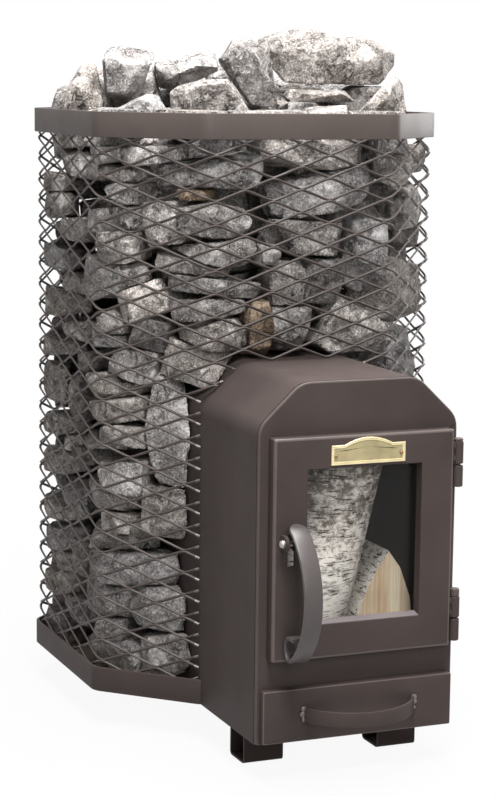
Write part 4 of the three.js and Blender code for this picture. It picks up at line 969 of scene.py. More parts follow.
@dataclass
class Cage:
    """Rim, ring and expanded mesh round the stones."""

    outline: Octagon = field(default_factory=Octagon)
    band: float = 4.0
    band_height: float = 35.0
    rim_top: float = 865.0
    ring_bottom: float = 50.0
    edge: float = 0.9
    wall: float = 143.3
    mesh_inset: float = 6.6
    columns: int = 21
    short_way: float = 31.1
    knuckle_height: float = 793.3
    mesh_top: float = 861.0
    mesh_bottom: float = 60.0
    strand_width: float = 2.8
    strand_thickness: float = 2.5
    lean: float = 0.7
    twist: float = radians(38)
    sharpness: float = 0.975
    samples: int = 20
    roof: tuple[tuple[float, float], ...] = ((0.0, 528.5), (84.0, 528.5), (143.4, 472.5))
    flue_height: float = 452.0
    flue_hole: float = 61.0
    flue_ring: float = 8.0
    faces: tuple[str, ...] = (
        "front", "front_right", "right", "back_right", "back", "back_left", "left", "front_left",
    )

    def section(self, bottom: float) -> Array:
        """Section of the flat bar, its outer face on the outline."""
        return rounded_rectangle(-self.band, 0, bottom, bottom + self.band_height, self.edge, 3)

    def build(self, shop: Workshop, finishes: Finishes) -> None:
        """Makes the rim, the ring and the mesh of each face."""
        line = self.outline.line(0.0)
        rim = carried(line, self.section(self.rim_top - self.band_height), Plane.LEVEL, True)
        shop.add("upper_rim", rim, finishes.rim, Body.STOVE, "body_paint", ["cage_rim"])
        distance, ring, length = self.outline.walk(0.0)
        past = int(np.argmax(ring[:, 0] > self.wall))
        start = float(np.interp(self.wall, ring[past - 1: past + 1, 0], distance[past - 1: past + 1]))
        inside = (distance > start + 1) & (distance < length - start - 1)
        ends = self.outline.at(np.array([start, length - start]), 0.0)[0]
        path = np.vstack([ends[:1], ring[inside], ends[1:]])
        lower = carried(path, self.section(self.ring_bottom), Plane.LEVEL, False)
        shop.add("lower_ring", lower, finishes.paint, Body.STOVE, "body_paint", ["cage_ring"])
        # painted light: the cage floor takes the pale burnt steel, lightened to stand in for light
        shop.dress("cage_floor", finishes.soot)
        self.weave(shop, finishes)

    def wave(self, distances: Array, pitch: float) -> Array:
        """Rounded zigzag: asin(k sin a) / asin(k), with one wave for each pitch."""
        angle = 2 * pi * distances / pitch + pi / 2
        return np.arcsin(self.sharpness * np.sin(angle)) / np.arcsin(self.sharpness)

    def weave(self, shop: Workshop, finishes: Finishes) -> None:
        """Makes expanded mesh: strand k runs at height h_k + a (-1)^k wave(s), and meets its neighbours at knuckles.

        Args:
            shop: Maker of the pieces.
            finishes: Materials.
        """
        length = self.outline.walk(self.mesh_inset)[2]
        pitch = length / self.columns
        total = self.columns * self.samples
        distances = np.arange(total + 1) * pitch / self.samples
        points = self.outline.at(distances, self.mesh_inset)[0]
        for side in (1, -1):
            on_front = np.flatnonzero((points[:, 1] < 0) & (np.abs(points[:, 0] - side * (self.wall + 0.5)) < pitch))
            nearest = on_front[np.argmin(np.abs(points[on_front, 0] - side * (self.wall + 0.5)))]
            slope = points[nearest + 1] - points[nearest - 1]
            distances[nearest] += (side * (self.wall + 0.5) - points[nearest, 0]) / slope[0] * (
                distances[nearest + 1] - distances[nearest - 1])
        half_rise = self.short_way / 2
        rows = np.arange(-60, 20)
        middles = self.knuckle_height + (rows + 0.5) * half_rise
        kept = (middles < self.mesh_top - half_rise / 2) & (middles > self.mesh_bottom + half_rise / 2)
        rows, middles = rows[kept], middles[kept]
        inset = self.outline
        corners = np.array([0.5, 1.5, 2.5, 3.5, 4.5, 5.5, 6.5, 7.5])
        straight = 2 * (inset.half - inset.corner - self.mesh_inset * (sqrt(2) - 1))
        slant = length / 4 - straight
        bounds = np.cumsum([straight / 2, *[slant, straight] * 3, slant])
        bounds = np.concatenate([[-straight / 2], bounds])
        assert len(corners) == len(self.faces)
        for number, face in enumerate(self.faces):
            first = int(round(bounds[number] / pitch * self.samples))
            last = int(round(bounds[number + 1] / pitch * self.samples))
            along = distances[np.arange(first, last + 1) % total] + np.where(
                np.arange(first, last + 1) < 0, -length, 0.0)
            self.panel(shop, finishes, face, along, rows, middles, pitch)

    def panel(
        self, shop: Workshop, finishes: Finishes, face: str, along: Array, rows: Ints, middles: Array, pitch: float,
    ) -> None:
        """Makes the strands of one face, cut where the firebox or the flue comes through.

        Args:
            shop: Maker of the pieces.
            finishes: Materials.
            face: Name of the face.
            along: Distances along the outline.
            rows: Numbers of the strands.
            middles: Middle heights of the strands.
            pitch: Length of one diamond.
        """
        flat, normal = self.outline.at(along, self.mesh_inset)
        wave = self.wave(along, pitch)[None, :] * np.where(rows % 2 == 0, -1.0, 1.0)[:, None]
        rise = wave * (self.short_way / 4 - self.strand_width * 0.22)
        centre = np.empty((len(rows), len(along), 3))
        centre[..., :2] = flat[None] + normal[None] * (wave * self.lean)[..., None]
        centre[..., 2] = middles[:, None] + rise
        ahead = np.gradient(centre, axis=1)
        ahead /= np.linalg.norm(ahead, axis=-1, keepdims=True)
        out = np.zeros_like(centre)
        out[..., :2] = normal[None]
        upward = np.cross(out, ahead)
        upward /= np.linalg.norm(upward, axis=-1, keepdims=True)
        out = np.cross(ahead, upward)
        wide = cos(self.twist) * upward + sin(self.twist) * out
        thick = cos(self.twist) * out - sin(self.twist) * upward
        signs = np.array([[-1, -1], [1, -1], [1, 1], [-1, 1]]) / 2
        points = (
            centre[:, :, None] + wide[:, :, None] * (signs[:, :1] * self.strand_width)
            + thick[:, :, None] * (signs[:, 1:] * self.strand_thickness)
        )
        x, y, z = centre[..., 0], centre[..., 1], centre[..., 2]
        roof = np.interp(np.abs(x), *np.array(self.roof).T)
        blocked = (np.abs(x) < self.wall + 0.3) & (y < 0) & (z < roof)
        blocked |= (y > 0) & (np.hypot(x, z - self.flue_height) < self.flue_hole + self.flue_ring / 2)
        cut = blocked[:, :-1] | blocked[:, 1:]
        surface, tips = self.strips(points, ~cut, cut)
        parts = [surface]
        if face == "back":
            inner, outer = self.flue_hole, self.flue_hole + self.flue_ring
            middle = self.outline.half - self.mesh_inset
            profile = np.array([
                [inner, middle - 1], [outer, middle - 1], [outer, middle + 1], [inner, middle + 1], [inner, middle - 1],
            ])
            parts.append(turned(profile, 48, 1, (0, 0, self.flue_height)))
            tips = np.concatenate([tips, np.zeros(len(parts[1].quads), dtype=np.int64)])
        whole = Surface.join(parts)
        mesh = shop.mesh(f"mesh_strands_{face}", whole, marks=tips)
        shop.place(
            f"mesh_strands_{face}", mesh, [finishes.mesh, finishes.tip], Body.STOVE, "mesh_steel", [f"mesh_{face}"])

    @staticmethod
    def strips(points: Array, kept: NDArray[np.bool_], cut: NDArray[np.bool_]) -> tuple[Surface, Ints]:
        """Bars of four sides along rows of sections, only where they are kept.

        Args:
            points: Rows by places by four corners.
            kept: Whether each stretch between two places is there.
            cut: Whether each stretch is cut away by something that comes through.

        Returns:
            The surface, and 1 for each face of a stretch that ends in a cut.
        """
        rows, places = points.shape[:2]
        base = (np.arange(rows)[:, None] * places + np.arange(places)[None, :]) * 4
        padded = np.pad(kept, ((0, 0), (1, 1)))
        cuts = np.pad(cut, ((0, 0), (1, 1)))
        tip = kept & (cuts[:, :-2] | cuts[:, 2:])
        start, end = base[:, :-1][kept], base[:, 1:][kept]
        sides = [np.stack([start + k, start + (k + 1) % 4, end + (k + 1) % 4, end + k], axis=-1) for k in range(4)]
        opens = base[:, :-1][kept & ~padded[:, :-2]]
        closes = base[:, 1:][kept & ~padded[:, 2:]]
        caps = [np.stack([opens + k for k in (3, 2, 1, 0)], axis=-1), np.stack([closes + k for k in range(4)], axis=-1)]
        tips = np.concatenate([np.tile(tip[kept], 4), np.zeros(len(opens) + len(closes), dtype=bool)])
        return Surface(points.reshape(-1, 3), np.vstack(sides + caps)), tips.astype(np.int64)


# Firebox


@dataclass
class Firebox:
    """Bent tunnel with its front, its feet and what is inside it."""

    half: float = 143.0
    bottom: float = 50.0
    shoulder: float = 471.0
    top: float = 527.0
    crown: float = 84.0
    sheet: float = 5.0
    bend: float = 15.0
    front: float = -454.0
    plate: float = 6.0
    back: float = 140.0
    back_plate: float = 5.0
    gap: float = 0.3
    foot: float = 50.0
    foot_wall: float = 3.0
    foot_round: float = 6.0
    foot_inner: float = 71.0
    foot_length: float = 57.0
    foot_rows: tuple[tuple[str, float], ...] = (("front", -381.0), ("rear", 60.0))
    flue_radius: float = 57.3
    flue_wall: float = 3.0
    flue_height: float = 452.0
    flue_end: float = 305.0

    def build(self, shop: Workshop, finishes: Finishes) -> None:
        """Makes the shell, the feet and the collar, and eases or dresses the other nodes."""
        corners = np.array([
            [-self.half, self.bottom], [-self.half, self.shoulder], [-self.crown, self.top],
            [self.crown, self.top], [self.half, self.shoulder], [self.half, self.bottom],
        ])
        line = bent_line(corners, self.bend, 8)[::-1]
        start, end = self.front + self.plate + self.gap, self.back - self.gap
        section = np.array([[0, start], [0, end], [-self.sheet, end], [-self.sheet, start]])
        shell = carried(line, section, Plane.FRONT, False)
        shop.add("firebox_tunnel", shell, finishes.paint, Body.STOVE, "body_paint", ["firebox_shell"])
        # painted highlight: the eased edges of the front plate take the lighter rim paint
        shop.ease("firebox_front_plate", 2.6, finishes.paint, Body.STOVE, "body_paint", 4, finishes.rim)
        shop.ease("firebox_back_plate", 1.0, finishes.paint, Body.STOVE, "body_paint")
        for row, edge in self.foot_rows:
            for side, left in (("left", -self.foot_inner - self.foot_length), ("right", self.foot_inner)):
                self.stand(shop, finishes, row, side, edge, left)
        self.collar(shop, finishes)
        # painted light: the inside of the firebox takes the pale burnt steel, lightened to stand in for light reaching
        # it
        for node in ("firebox_floor", "hearth_plate", "smoke_baffle"):
            shop.dress(node, finishes.soot)
        shop.ease("fire_grate", 1.2, finishes.iron, Body.STOVE, "grate_iron")

    def stand(self, shop: Workshop, finishes: Finishes, row: str, side: str, edge: float, left: float) -> None:
        """Makes one foot: a length of square tube with round corners, open at both ends.

        Args:
            shop: Maker of the pieces.
            finishes: Materials.
            row: Front or rear.
            side: Left or right.
            edge: Front face of the tube.
            left: Left end of the tube.
        """
        wall, size = self.foot_wall, self.foot
        outer = rounded_rectangle(edge, edge + size, 0, size, self.foot_round)
        inner = rounded_rectangle(edge + wall, edge + size - wall, wall, size - wall, self.foot_round - wall)
        right = left + self.foot_length
        rings = [(inner, left), (outer, left), (outer, right), (inner, right)]
        tube = lofted(rings, Plane.SIDE, closed=True)
        shop.add(f"foot_tube_{row}_{side}", tube, finishes.paint, Body.STOVE, "body_paint", [f"foot_{row}_{side}"])

    def collar(self, shop: Workshop, finishes: Finishes) -> None:
        """Makes the flue collar: a tube with a bead near its end."""
        start, outer = self.back + self.back_plate + self.gap, self.flue_radius
        inner = outer - self.flue_wall
        bead = self.flue_end - 24
        swell = np.linspace(0, pi, 9)
        bump = np.stack([outer - 2.2 + 2.2 * np.sin(swell), bead - 7 * np.cos(swell)], axis=-1)
        profile = np.vstack([
            [[inner, start], [outer - 2.2, start]], bump,
            [[outer - 2.2, self.flue_end - 1], [outer - 3, self.flue_end], [inner, self.flue_end], [inner, start]],
        ])
        tube = turned(profile, 64, 1, (0, 0, self.flue_height))
        shop.add("flue_tube", tube, finishes.paint, Body.STOVE, "body_paint", ["flue_collar"])


# Door


@dataclass
class Door:
    """Folded door with its window, plate, seal and hinges."""

    half: float = 129.0
    bottom: float = 164.5
    top: float = 458.0
    front: float = -474.0
    back: float = -454.5
    sheet: float = 4.0
    edge: float = 3.4
    window_half: float = 82.0
    window_bottom: float = 210.0
    window_top: float = 416.0
    flange: float = 16.0
    sill_height: float = 3.6
    slot_x: tuple[float, float] = (-109.0, -99.0)
    slot_z: tuple[float, float] = (290.0, 333.0)
    plate_half: float = 53.0
    plate_low: float = 26.0
    plate_high: float = 35.0
    plate_arch: float = 34.0
    plate_bottom: float = 420.0
    plate_middle: float = 3.0
    plate_thickness: float = 2.0
    rivet: float = 2.6
    hinge_x: float = 140.0
    hinge_y: float = -464.0
    knuckle: float = 7.0
    pin: float = 3.0
    hinges: tuple[tuple[str, tuple[float, float], tuple[float, float], tuple[float, float]], ...] = (
        ("upper", (440.4, 444.0), (410.0, 440.0), (379.0, 407.5)),
        ("lower", (229.4, 240.0), (201.0, 229.0), (169.0, 199.0)),
    )

    def outer(self, inset: float, radius: float) -> Array:
        """Outline of the door drawn in by an inset."""
        return rounded_rectangle(
            -self.half + inset, self.half - inset, self.bottom + inset, self.top - inset, radius)

    def pane(self, outset: float, radius: float = 0.8) -> Array:
        """Outline of the window drawn outwards by an outset."""
        return rounded_rectangle(
            -self.window_half - outset, self.window_half + outset, self.window_bottom - outset,
            self.window_top + outset, radius)

    def build(self, shop: Workshop, finishes: Finishes) -> None:
        """Makes the panel, plate, seal and hinges, and dresses the glass and its clamps."""
        self.panel(shop, finishes)
        self.sign(shop, finishes)
        self.seal(shop, finishes)
        self.swing(shop, finishes)
        shop.dress("door_glass", finishes.glass)
        for node in ("glass_clamp_top", "glass_clamp_bottom"):
            shop.ease(node, 0.8, finishes.steel, Body.DOOR, "inner_steel")

    def panel(self, shop: Workshop, finishes: Finishes) -> None:
        """Makes the folded panel from outlines that run round the edge, over the face and into the window."""
        turn = np.linspace(0, pi / 2, 6)
        rings = [(self.outer(self.sheet, 1.0), self.back), (self.outer(0.4, 2.0), self.back)]
        rings += [
            (self.outer(self.edge * (1 - cos(a)), 2.5), self.front + self.edge * (1 - sin(a))) for a in turn
        ]
        rings += [
            (self.pane(0.6), self.front), (self.pane(0.0), self.front + 0.6),
            (self.pane(0.0), self.front + self.flange), (self.pane(self.sheet), self.front + self.flange),
            (self.pane(self.sheet), self.front + self.sheet), (self.outer(self.sheet, 1.0), self.front + self.sheet),
        ]
        # painted highlight: the light sill strip stands in for the lit lower reveal of the window
        shop.add("window_sill", self.sill(), finishes.sill, Body.DOOR, "body_paint", [])
        tray = lofted(rings, Plane.FRONT, closed=True)
        # painted highlight: the rows round the rounded rim of the door take the lighter edge paint
        row = np.arange(len(tray.quads)) // len(rings[0][0])
        mesh = shop.mesh("door_tray", tray, ((row > 1) & (row < len(turn) + 1)).astype(int))
        piece = shop.place(
            "door_tray", mesh, [finishes.paint, finishes.edge], Body.DOOR, "body_paint", ["door_panel"])
        slot = rounded_rectangle(*self.slot_x, *self.slot_z, 2.0)
        cutter_mesh = shop.mesh(
            "slot_cutter", lofted([(slot, self.front - 5), (slot, self.front + self.sheet + 2)], Plane.FRONT))
        cutter = bpy.data.objects.new("slot_cutter", cutter_mesh)
        bpy.context.scene.collection.objects.link(cutter)
        cut = piece.modifiers.new("slot", "BOOLEAN")
        cut.object = cutter
        cut.solver = "EXACT"
        ready = piece.evaluated_get(bpy.context.evaluated_depsgraph_get())
        piece.data = bpy.data.meshes.new_from_object(ready)
        piece.modifiers.clear()
        piece.data.set_sharp_from_angle(angle=SMOOTH_ANGLE)
        bpy.data.objects.remove(cutter)

    def sill(self) -> Surface:
        """Strip along the foot of the window: a wedge that rises towards the glass, carried across it."""
        low, rise = self.window_bottom + 0.1, self.window_bottom + self.sill_height
        deep = self.front + self.flange - 0.5
        wedge = np.array([[self.front + 1, low], [deep, low], [deep, rise], [deep - 1, rise], [self.front + 1, low + 1]])
        half = self.window_half - 0.1
        return lofted([(wedge, -half), (wedge, half)], Plane.SIDE)

    def sign_outline(self, inset: float) -> Array:
        """Outline of the plate drawn in by an inset: square ends and an arch 2t(1-t) high over its middle.

        Args:
            inset: Distance inwards.

        Returns:
            Points in order, anticlockwise.
        """
        half, low, rise = self.plate_half - inset, self.plate_low - inset, self.plate_high - self.plate_low
        t = np.linspace(0, 1, 25)
        arch = np.stack([self.plate_arch * (1 - 2 * t), low + 4 * t * (1 - t) * rise], axis=-1)
        corners = np.array([[-half, inset], [half, inset], [half, low]])
        outline = np.vstack([corners, arch, [[-half, low]]])
        return outline + [self.plate_middle, self.plate_bottom]

    def sign(self, shop: Workshop, finishes: Finishes) -> None:
        """Makes the plain plate with a raised border, and its two rivets."""
        face = self.front - 0.3 - self.plate_thickness

        def ring(inset: float, depth: float) -> tuple[Array, float]:
            return self.sign_outline(inset), depth

        rings = [
            ring(0.5, self.front - 0.3), ring(0, face + 0.5), ring(0.5, face), ring(1.7, face), ring(2.0, face + 0.5),
            ring(2.6, face + 0.5), ring(2.9, face + 0.1), ring(3.7, face + 0.1), ring(4.2, face + 1.0),
            ring(8.0, face + 1.0),
        ]
        plate = lofted(rings, Plane.FRONT)
        field_from = (len(rings) - 2) * len(rings[0][0])
        marks = np.concatenate([
            np.arange(len(plate.quads)) >= field_from, np.arange(len(plate.triangles)) >= len(plate.triangles) // 2,
        ])
        mesh = shop.mesh("plain_plate", plate, marks=marks.astype(np.int64))
        shop.place("plain_plate", mesh, [finishes.brass, finishes.patina], Body.DOOR, "plate_brass", ["nameplate"])
        for name, sign in (("left", -1), ("right", 1)):
            angle = np.linspace(0, pi / 2, 6)
            dome = np.stack([self.rivet * np.cos(angle), -1.8 * np.sin(angle)], axis=-1)
            centre = (self.plate_middle + sign * (self.plate_half - 6), face - 0.3, self.plate_bottom + 12)
            head = turned(np.vstack([[[self.rivet, 0.25]], dome[:-1], [[0.05, -1.8]]]), 20, 1, centre)
            shop.add(
                f"plate_rivet_{name}", head, finishes.copper, Body.DOOR, "rivet_copper", [f"nameplate_rivet_{name}"])

    def seal(self, shop: Workshop, finishes: Finishes) -> None:
        """Makes the rope seal: an oval carried round the door, swelling in a twist of three strands."""
        line = rounded_rectangle(
            -self.half + 7.3, self.half - 7.3, self.bottom + 7.3, self.top - 7.3, 9.0, 8)
        ring = np.vstack([line, line[:1]])
        known = np.concatenate([[0], np.cumsum(np.linalg.norm(np.diff(ring, axis=0), axis=1))])
        distance = np.linspace(0, known[-1], 620, endpoint=False)
        path = np.stack([np.interp(distance, known, ring[:, 0]), np.interp(distance, known, ring[:, 1])], axis=-1)
        angle = np.linspace(0, 2 * pi, 14, endpoint=False)
        swell = 0.86 + 0.14 * np.cos(3 * angle[None, :] - distance[:, None] * 2 * pi / 9)
        normals = side_normals(path, True)
        across = 2.9 * np.cos(angle)[None, :] * swell
        depth = -459.8 + 5.3 * np.sin(angle)[None, :] * swell
        points = np.empty((len(path), len(angle), 3))
        points[..., 0] = path[:, None, 0] + normals[:, None, 0] * across
        points[..., 2] = path[:, None, 1] + normals[:, None, 1] * across
        points[..., 1] = depth
        rope = Surface.grid(points, closed_rows=True)
        shop.add("woven_seal", rope, finishes.rope, Body.DOOR, "seal_rope", ["door_rope_seal"])

    def barrel(self, low: float, high: float, radius: float, bore: float | None) -> Surface:
        """A turned barrel on the hinge axis with eased ends.

        Args:
            low, high: Heights of its ends.
            radius: Outer radius.
            bore: Radius of its bore, or none for a solid one.

        Returns:
            The surface.
        """
        ease = min(0.9, (high - low) / 4)
        skin = [[radius - ease, low], [radius, low + ease], [radius, high - ease], [radius - ease, high]]
        profile = skin if bore is None else [[bore, low], *skin, [bore, high], [bore, low]]
        return turned(np.array(profile), 28, 2, (self.hinge_x, self.hinge_y, 0))

    def swing(self, shop: Workshop, finishes: Finishes) -> None:
        """Makes both hinges: door knuckle, frame knuckle and pin with its cap, with weld beads."""
        x, y, bore = self.hinge_x, self.hinge_y, self.pin + 0.7
        for seed, (level, cap, door, frame) in enumerate(self.hinges):
            middle = (door[0] + door[1]) / 2
            tab = lofted([
                (rounded_rectangle(self.half + 0.3, x - 5, y - 3, y + 3, 0.6), door[0] + 1),
                (rounded_rectangle(self.half + 0.3, x - 5, y - 3, y + 3, 0.6), door[1] - 1),
            ], Plane.LEVEL)
            beads = [
                lump((self.half + 2.6, y - 5.2, middle + up), (2.1, 2.6, tall), 40 + 5 * seed + i)
                for i, (up, tall) in enumerate(((8.5, 5.0), (-7.5, 4.4)))
            ]
            shop.add(
                f"door_knuckle_{level}", [self.barrel(*door, self.knuckle, bore), tab, *beads], finishes.paint,
                Body.DOOR, "body_paint", [f"hinge_door_knuckle_{level}"])
            frame_tab = lofted([
                (rounded_rectangle(x - 3, x + 3, y + 5, -454.3, 0.6), frame[0] + 1),
                (rounded_rectangle(x - 3, x + 3, y + 5, -454.3, 0.6), frame[1] - 1),
            ], Plane.LEVEL)
            shop.add(
                f"frame_knuckle_{level}", [self.barrel(*frame, self.knuckle, bore), frame_tab], finishes.paint,
                Body.STOVE, "body_paint", [f"hinge_frame_knuckle_{level}"])
            shaft = self.barrel(frame[0], cap[0] + 0.4, self.pin, None)
            head = self.barrel(cap[0], cap[1], self.knuckle - 0.6, None)
            shop.add(
                f"hinge_pin_and_cap_{level}", [shaft, head], finishes.rim, Body.STOVE, "bright_steel",
                [f"hinge_pin_{level}"])


@dataclass
class Handle:
    """Bowed door handle with its pivot bolt, lug and latch."""

    middle_x: float = -104.0
    width: float = 25.0
    bar: float = 5.0
    radius: float = 100.0
    bulge: float = 71.97
    middle_z: float = 256.0
    top_angle: float = 66.0
    foot_angle: float = -55.0
    loop: float = 12.0
    loop_side: float = 6.0
    loop_end: float = 14.0
    door_front: float = -474.0
    pivot_off: float = 12.0
    pivot_z: float = 324.0
    lug_outer: float = -119.5

    @staticmethod
    def arc(centre: tuple[float, float], radius: float, start: float, end: float, steps: int) -> Array:
        """Points on an arc: centre + radius * (cos a, sin a), with a in degrees from start to end."""
        angle = np.radians(np.linspace(start, end, steps + 1))
        return np.asarray(centre) + radius * np.stack([np.cos(angle), np.sin(angle)], axis=-1)

    def build(self, shop: Workshop, finishes: Finishes) -> None:
        """Makes the bowed bar and the bolt, and eases the lug, lever and catch."""
        centre = (self.bulge - self.radius, self.middle_z)
        bow = self.arc(centre, self.radius, self.top_angle, self.foot_angle, 60)
        loop = self.arc(centre, self.radius - self.loop, self.foot_angle, 0, 1)[0]
        high = loop + [0, self.loop_side]
        line = np.vstack([
            bow, self.arc(tuple(loop), self.loop, self.foot_angle, -180, 24)[1:],
            self.arc(tuple(high), self.loop, 180, 90, 16), high + [[self.loop_end, self.loop]],
        ])
        step = np.concatenate([[0], np.cumsum(np.linalg.norm(np.diff(line, axis=0), axis=1))])
        fine = np.concatenate([np.linspace(0, 14, 15), np.linspace(15, step[-1], 110)])
        line = np.stack([np.interp(fine, step, line[:, 0]), np.interp(fine, step, line[:, 1])], axis=-1)
        reach = np.clip(fine / (self.width / 2), 0, 1)
        widths = np.clip(np.sqrt(np.clip(1 - (1 - reach) ** 2, 0, 1)), 0.16, 1)
        path = np.stack([self.door_front - line[:, 0], line[:, 1]], axis=-1)
        left = self.middle_x - self.width / 2
        section = rounded_rectangle(-self.bar / 2, self.bar / 2, left, left + self.width, 1.1, 3)
        grip = carried(path, section, Plane.SIDE, False, widths)
        shop.add("bowed_grip", grip, finishes.handle, Body.LATCH, "body_paint", ["door_handle"])
        self.bolt(shop, finishes)
        shop.ease("handle_lug", 0.8, finishes.paint, Body.DOOR, "body_paint")
        shop.ease("latch_lever", 0.8, finishes.iron, Body.LATCH, "inner_steel")
        shop.ease("door_catch", 0.8, finishes.steel, Body.STOVE, "inner_steel")

    def bolt(self, shop: Workshop, finishes: Finishes) -> None:
        """Makes the pivot bolt: a domed head on a washer, a shaft and a nut."""
        y, z, head = self.door_front - self.pivot_off, self.pivot_z, self.lug_outer - 0.3
        angle = np.linspace(0, pi / 2, 7)
        dome = np.stack([5.6 * np.cos(angle), head - 2.2 - 3.8 * np.sin(angle)], axis=-1)
        nut = self.middle_x + 4
        profile = np.vstack([
            [[0.05, head - 6]], dome[::-1][1:], [[5.6, head - 1.6], [6.0, head - 1.5], [6.0, head]],
            [[3.8, head], [3.8, nut], [5.6, nut], [6.0, nut + 0.5], [6.0, nut + 4.5], [5.6, nut + 5]],
        ])
        bolt = turned(profile, 24, 0, (0, y, z))
        shop.add("pivot_bolt", bolt, finishes.bolt, Body.DOOR, "bright_steel", ["handle_bolt"])


@dataclass
class Drawer:
    """Ash drawer: front, bowed handle and pan."""

    half: float = 137.0
    bottom: float = 53.0
    top: float = 124.0
    front: float = -466.3
    back: float = -454.3
    edge: float = 1.4
    grip_half: float = 79.0
    grip_bulge: float = 47.85
    grip_bar: float = 4.0
    grip_width: float = 20.0
    grip_z: float = 89.0

    def build(self, shop: Workshop, finishes: Finishes) -> None:
        """Makes the front and the handle, and dresses the pan."""
        turn = np.linspace(0, pi / 2, 5)

        def ring(inset: float) -> Array:
            return rounded_rectangle(
                -self.half + inset, self.half - inset, self.bottom + inset, self.top - inset, 2.0)

        rings = [(ring(0.5), self.back), (ring(0.0), self.back - 0.5)]
        rings += [(ring(self.edge * (1 - cos(a))), self.front + self.edge * (1 - sin(a))) for a in turn]
        front = lofted(rings, Plane.FRONT)
        # painted highlight: the rows round the rounded edge of the drawer front take the lighter edge paint
        row = np.arange(len(front.quads) + len(front.triangles)) // len(rings[0][0])
        mesh = shop.mesh("drawer_face", front, ((row > 1) & (row < len(turn) + 1)).astype(int))
        shop.place("drawer_face", mesh, [finishes.paint, finishes.edge], Body.DRAWER, "body_paint", ["drawer_front"])
        self.grip(shop, finishes)
        shop.dress("ash_pan", finishes.steel)

    def grip(self, shop: Workshop, finishes: Finishes) -> None:
        """Makes the bowed handle and the weld beads at its ends."""
        radius = (self.grip_half**2 + self.grip_bulge**2) / (2 * self.grip_bulge)
        sweep = np.arcsin(self.grip_half / radius)
        face = self.front - 0.3 - self.grip_bar / 2
        angle = np.linspace(-pi / 2 - sweep, -pi / 2 + sweep, 61)
        middle = face - self.grip_bulge + radius
        line = np.stack([radius * np.cos(angle), middle + radius * np.sin(angle)], axis=-1)
        low = self.grip_z - self.grip_width / 2
        section = rounded_rectangle(-self.grip_bar / 2, self.grip_bar / 2, low, low + self.grip_width, 1.0, 3)
        bar = carried(line, section, Plane.LEVEL, False)
        beads = [
            lump((side * (self.grip_half + off), face - 0.3, self.grip_z + up), (size, 2.2, size), 70 + i)
            for i, (side, off, up, size) in enumerate((
                (-1, 1.5, 8, 4.2), (-1, 2.5, 1, 4.8), (-1, 0.5, -6, 4.4),
                (1, 1.5, 8, 4.6), (1, 2.5, 2, 4.0), (1, 0.5, -6, 3.8),
            ))
        ]
        welds = Surface.join(beads)
        parts = ((0, bar.quads), (1, welds.quads), (0, bar.triangles), (1, welds.triangles))
        marks = np.concatenate([np.full(len(faces), number) for number, faces in parts])
        mesh = shop.mesh("drawer_bow", Surface.join([bar, welds]), marks)
        shop.place("drawer_bow", mesh, [finishes.paint, finishes.weld], Body.DRAWER, "body_paint", ["drawer_handle"])


# Firewood


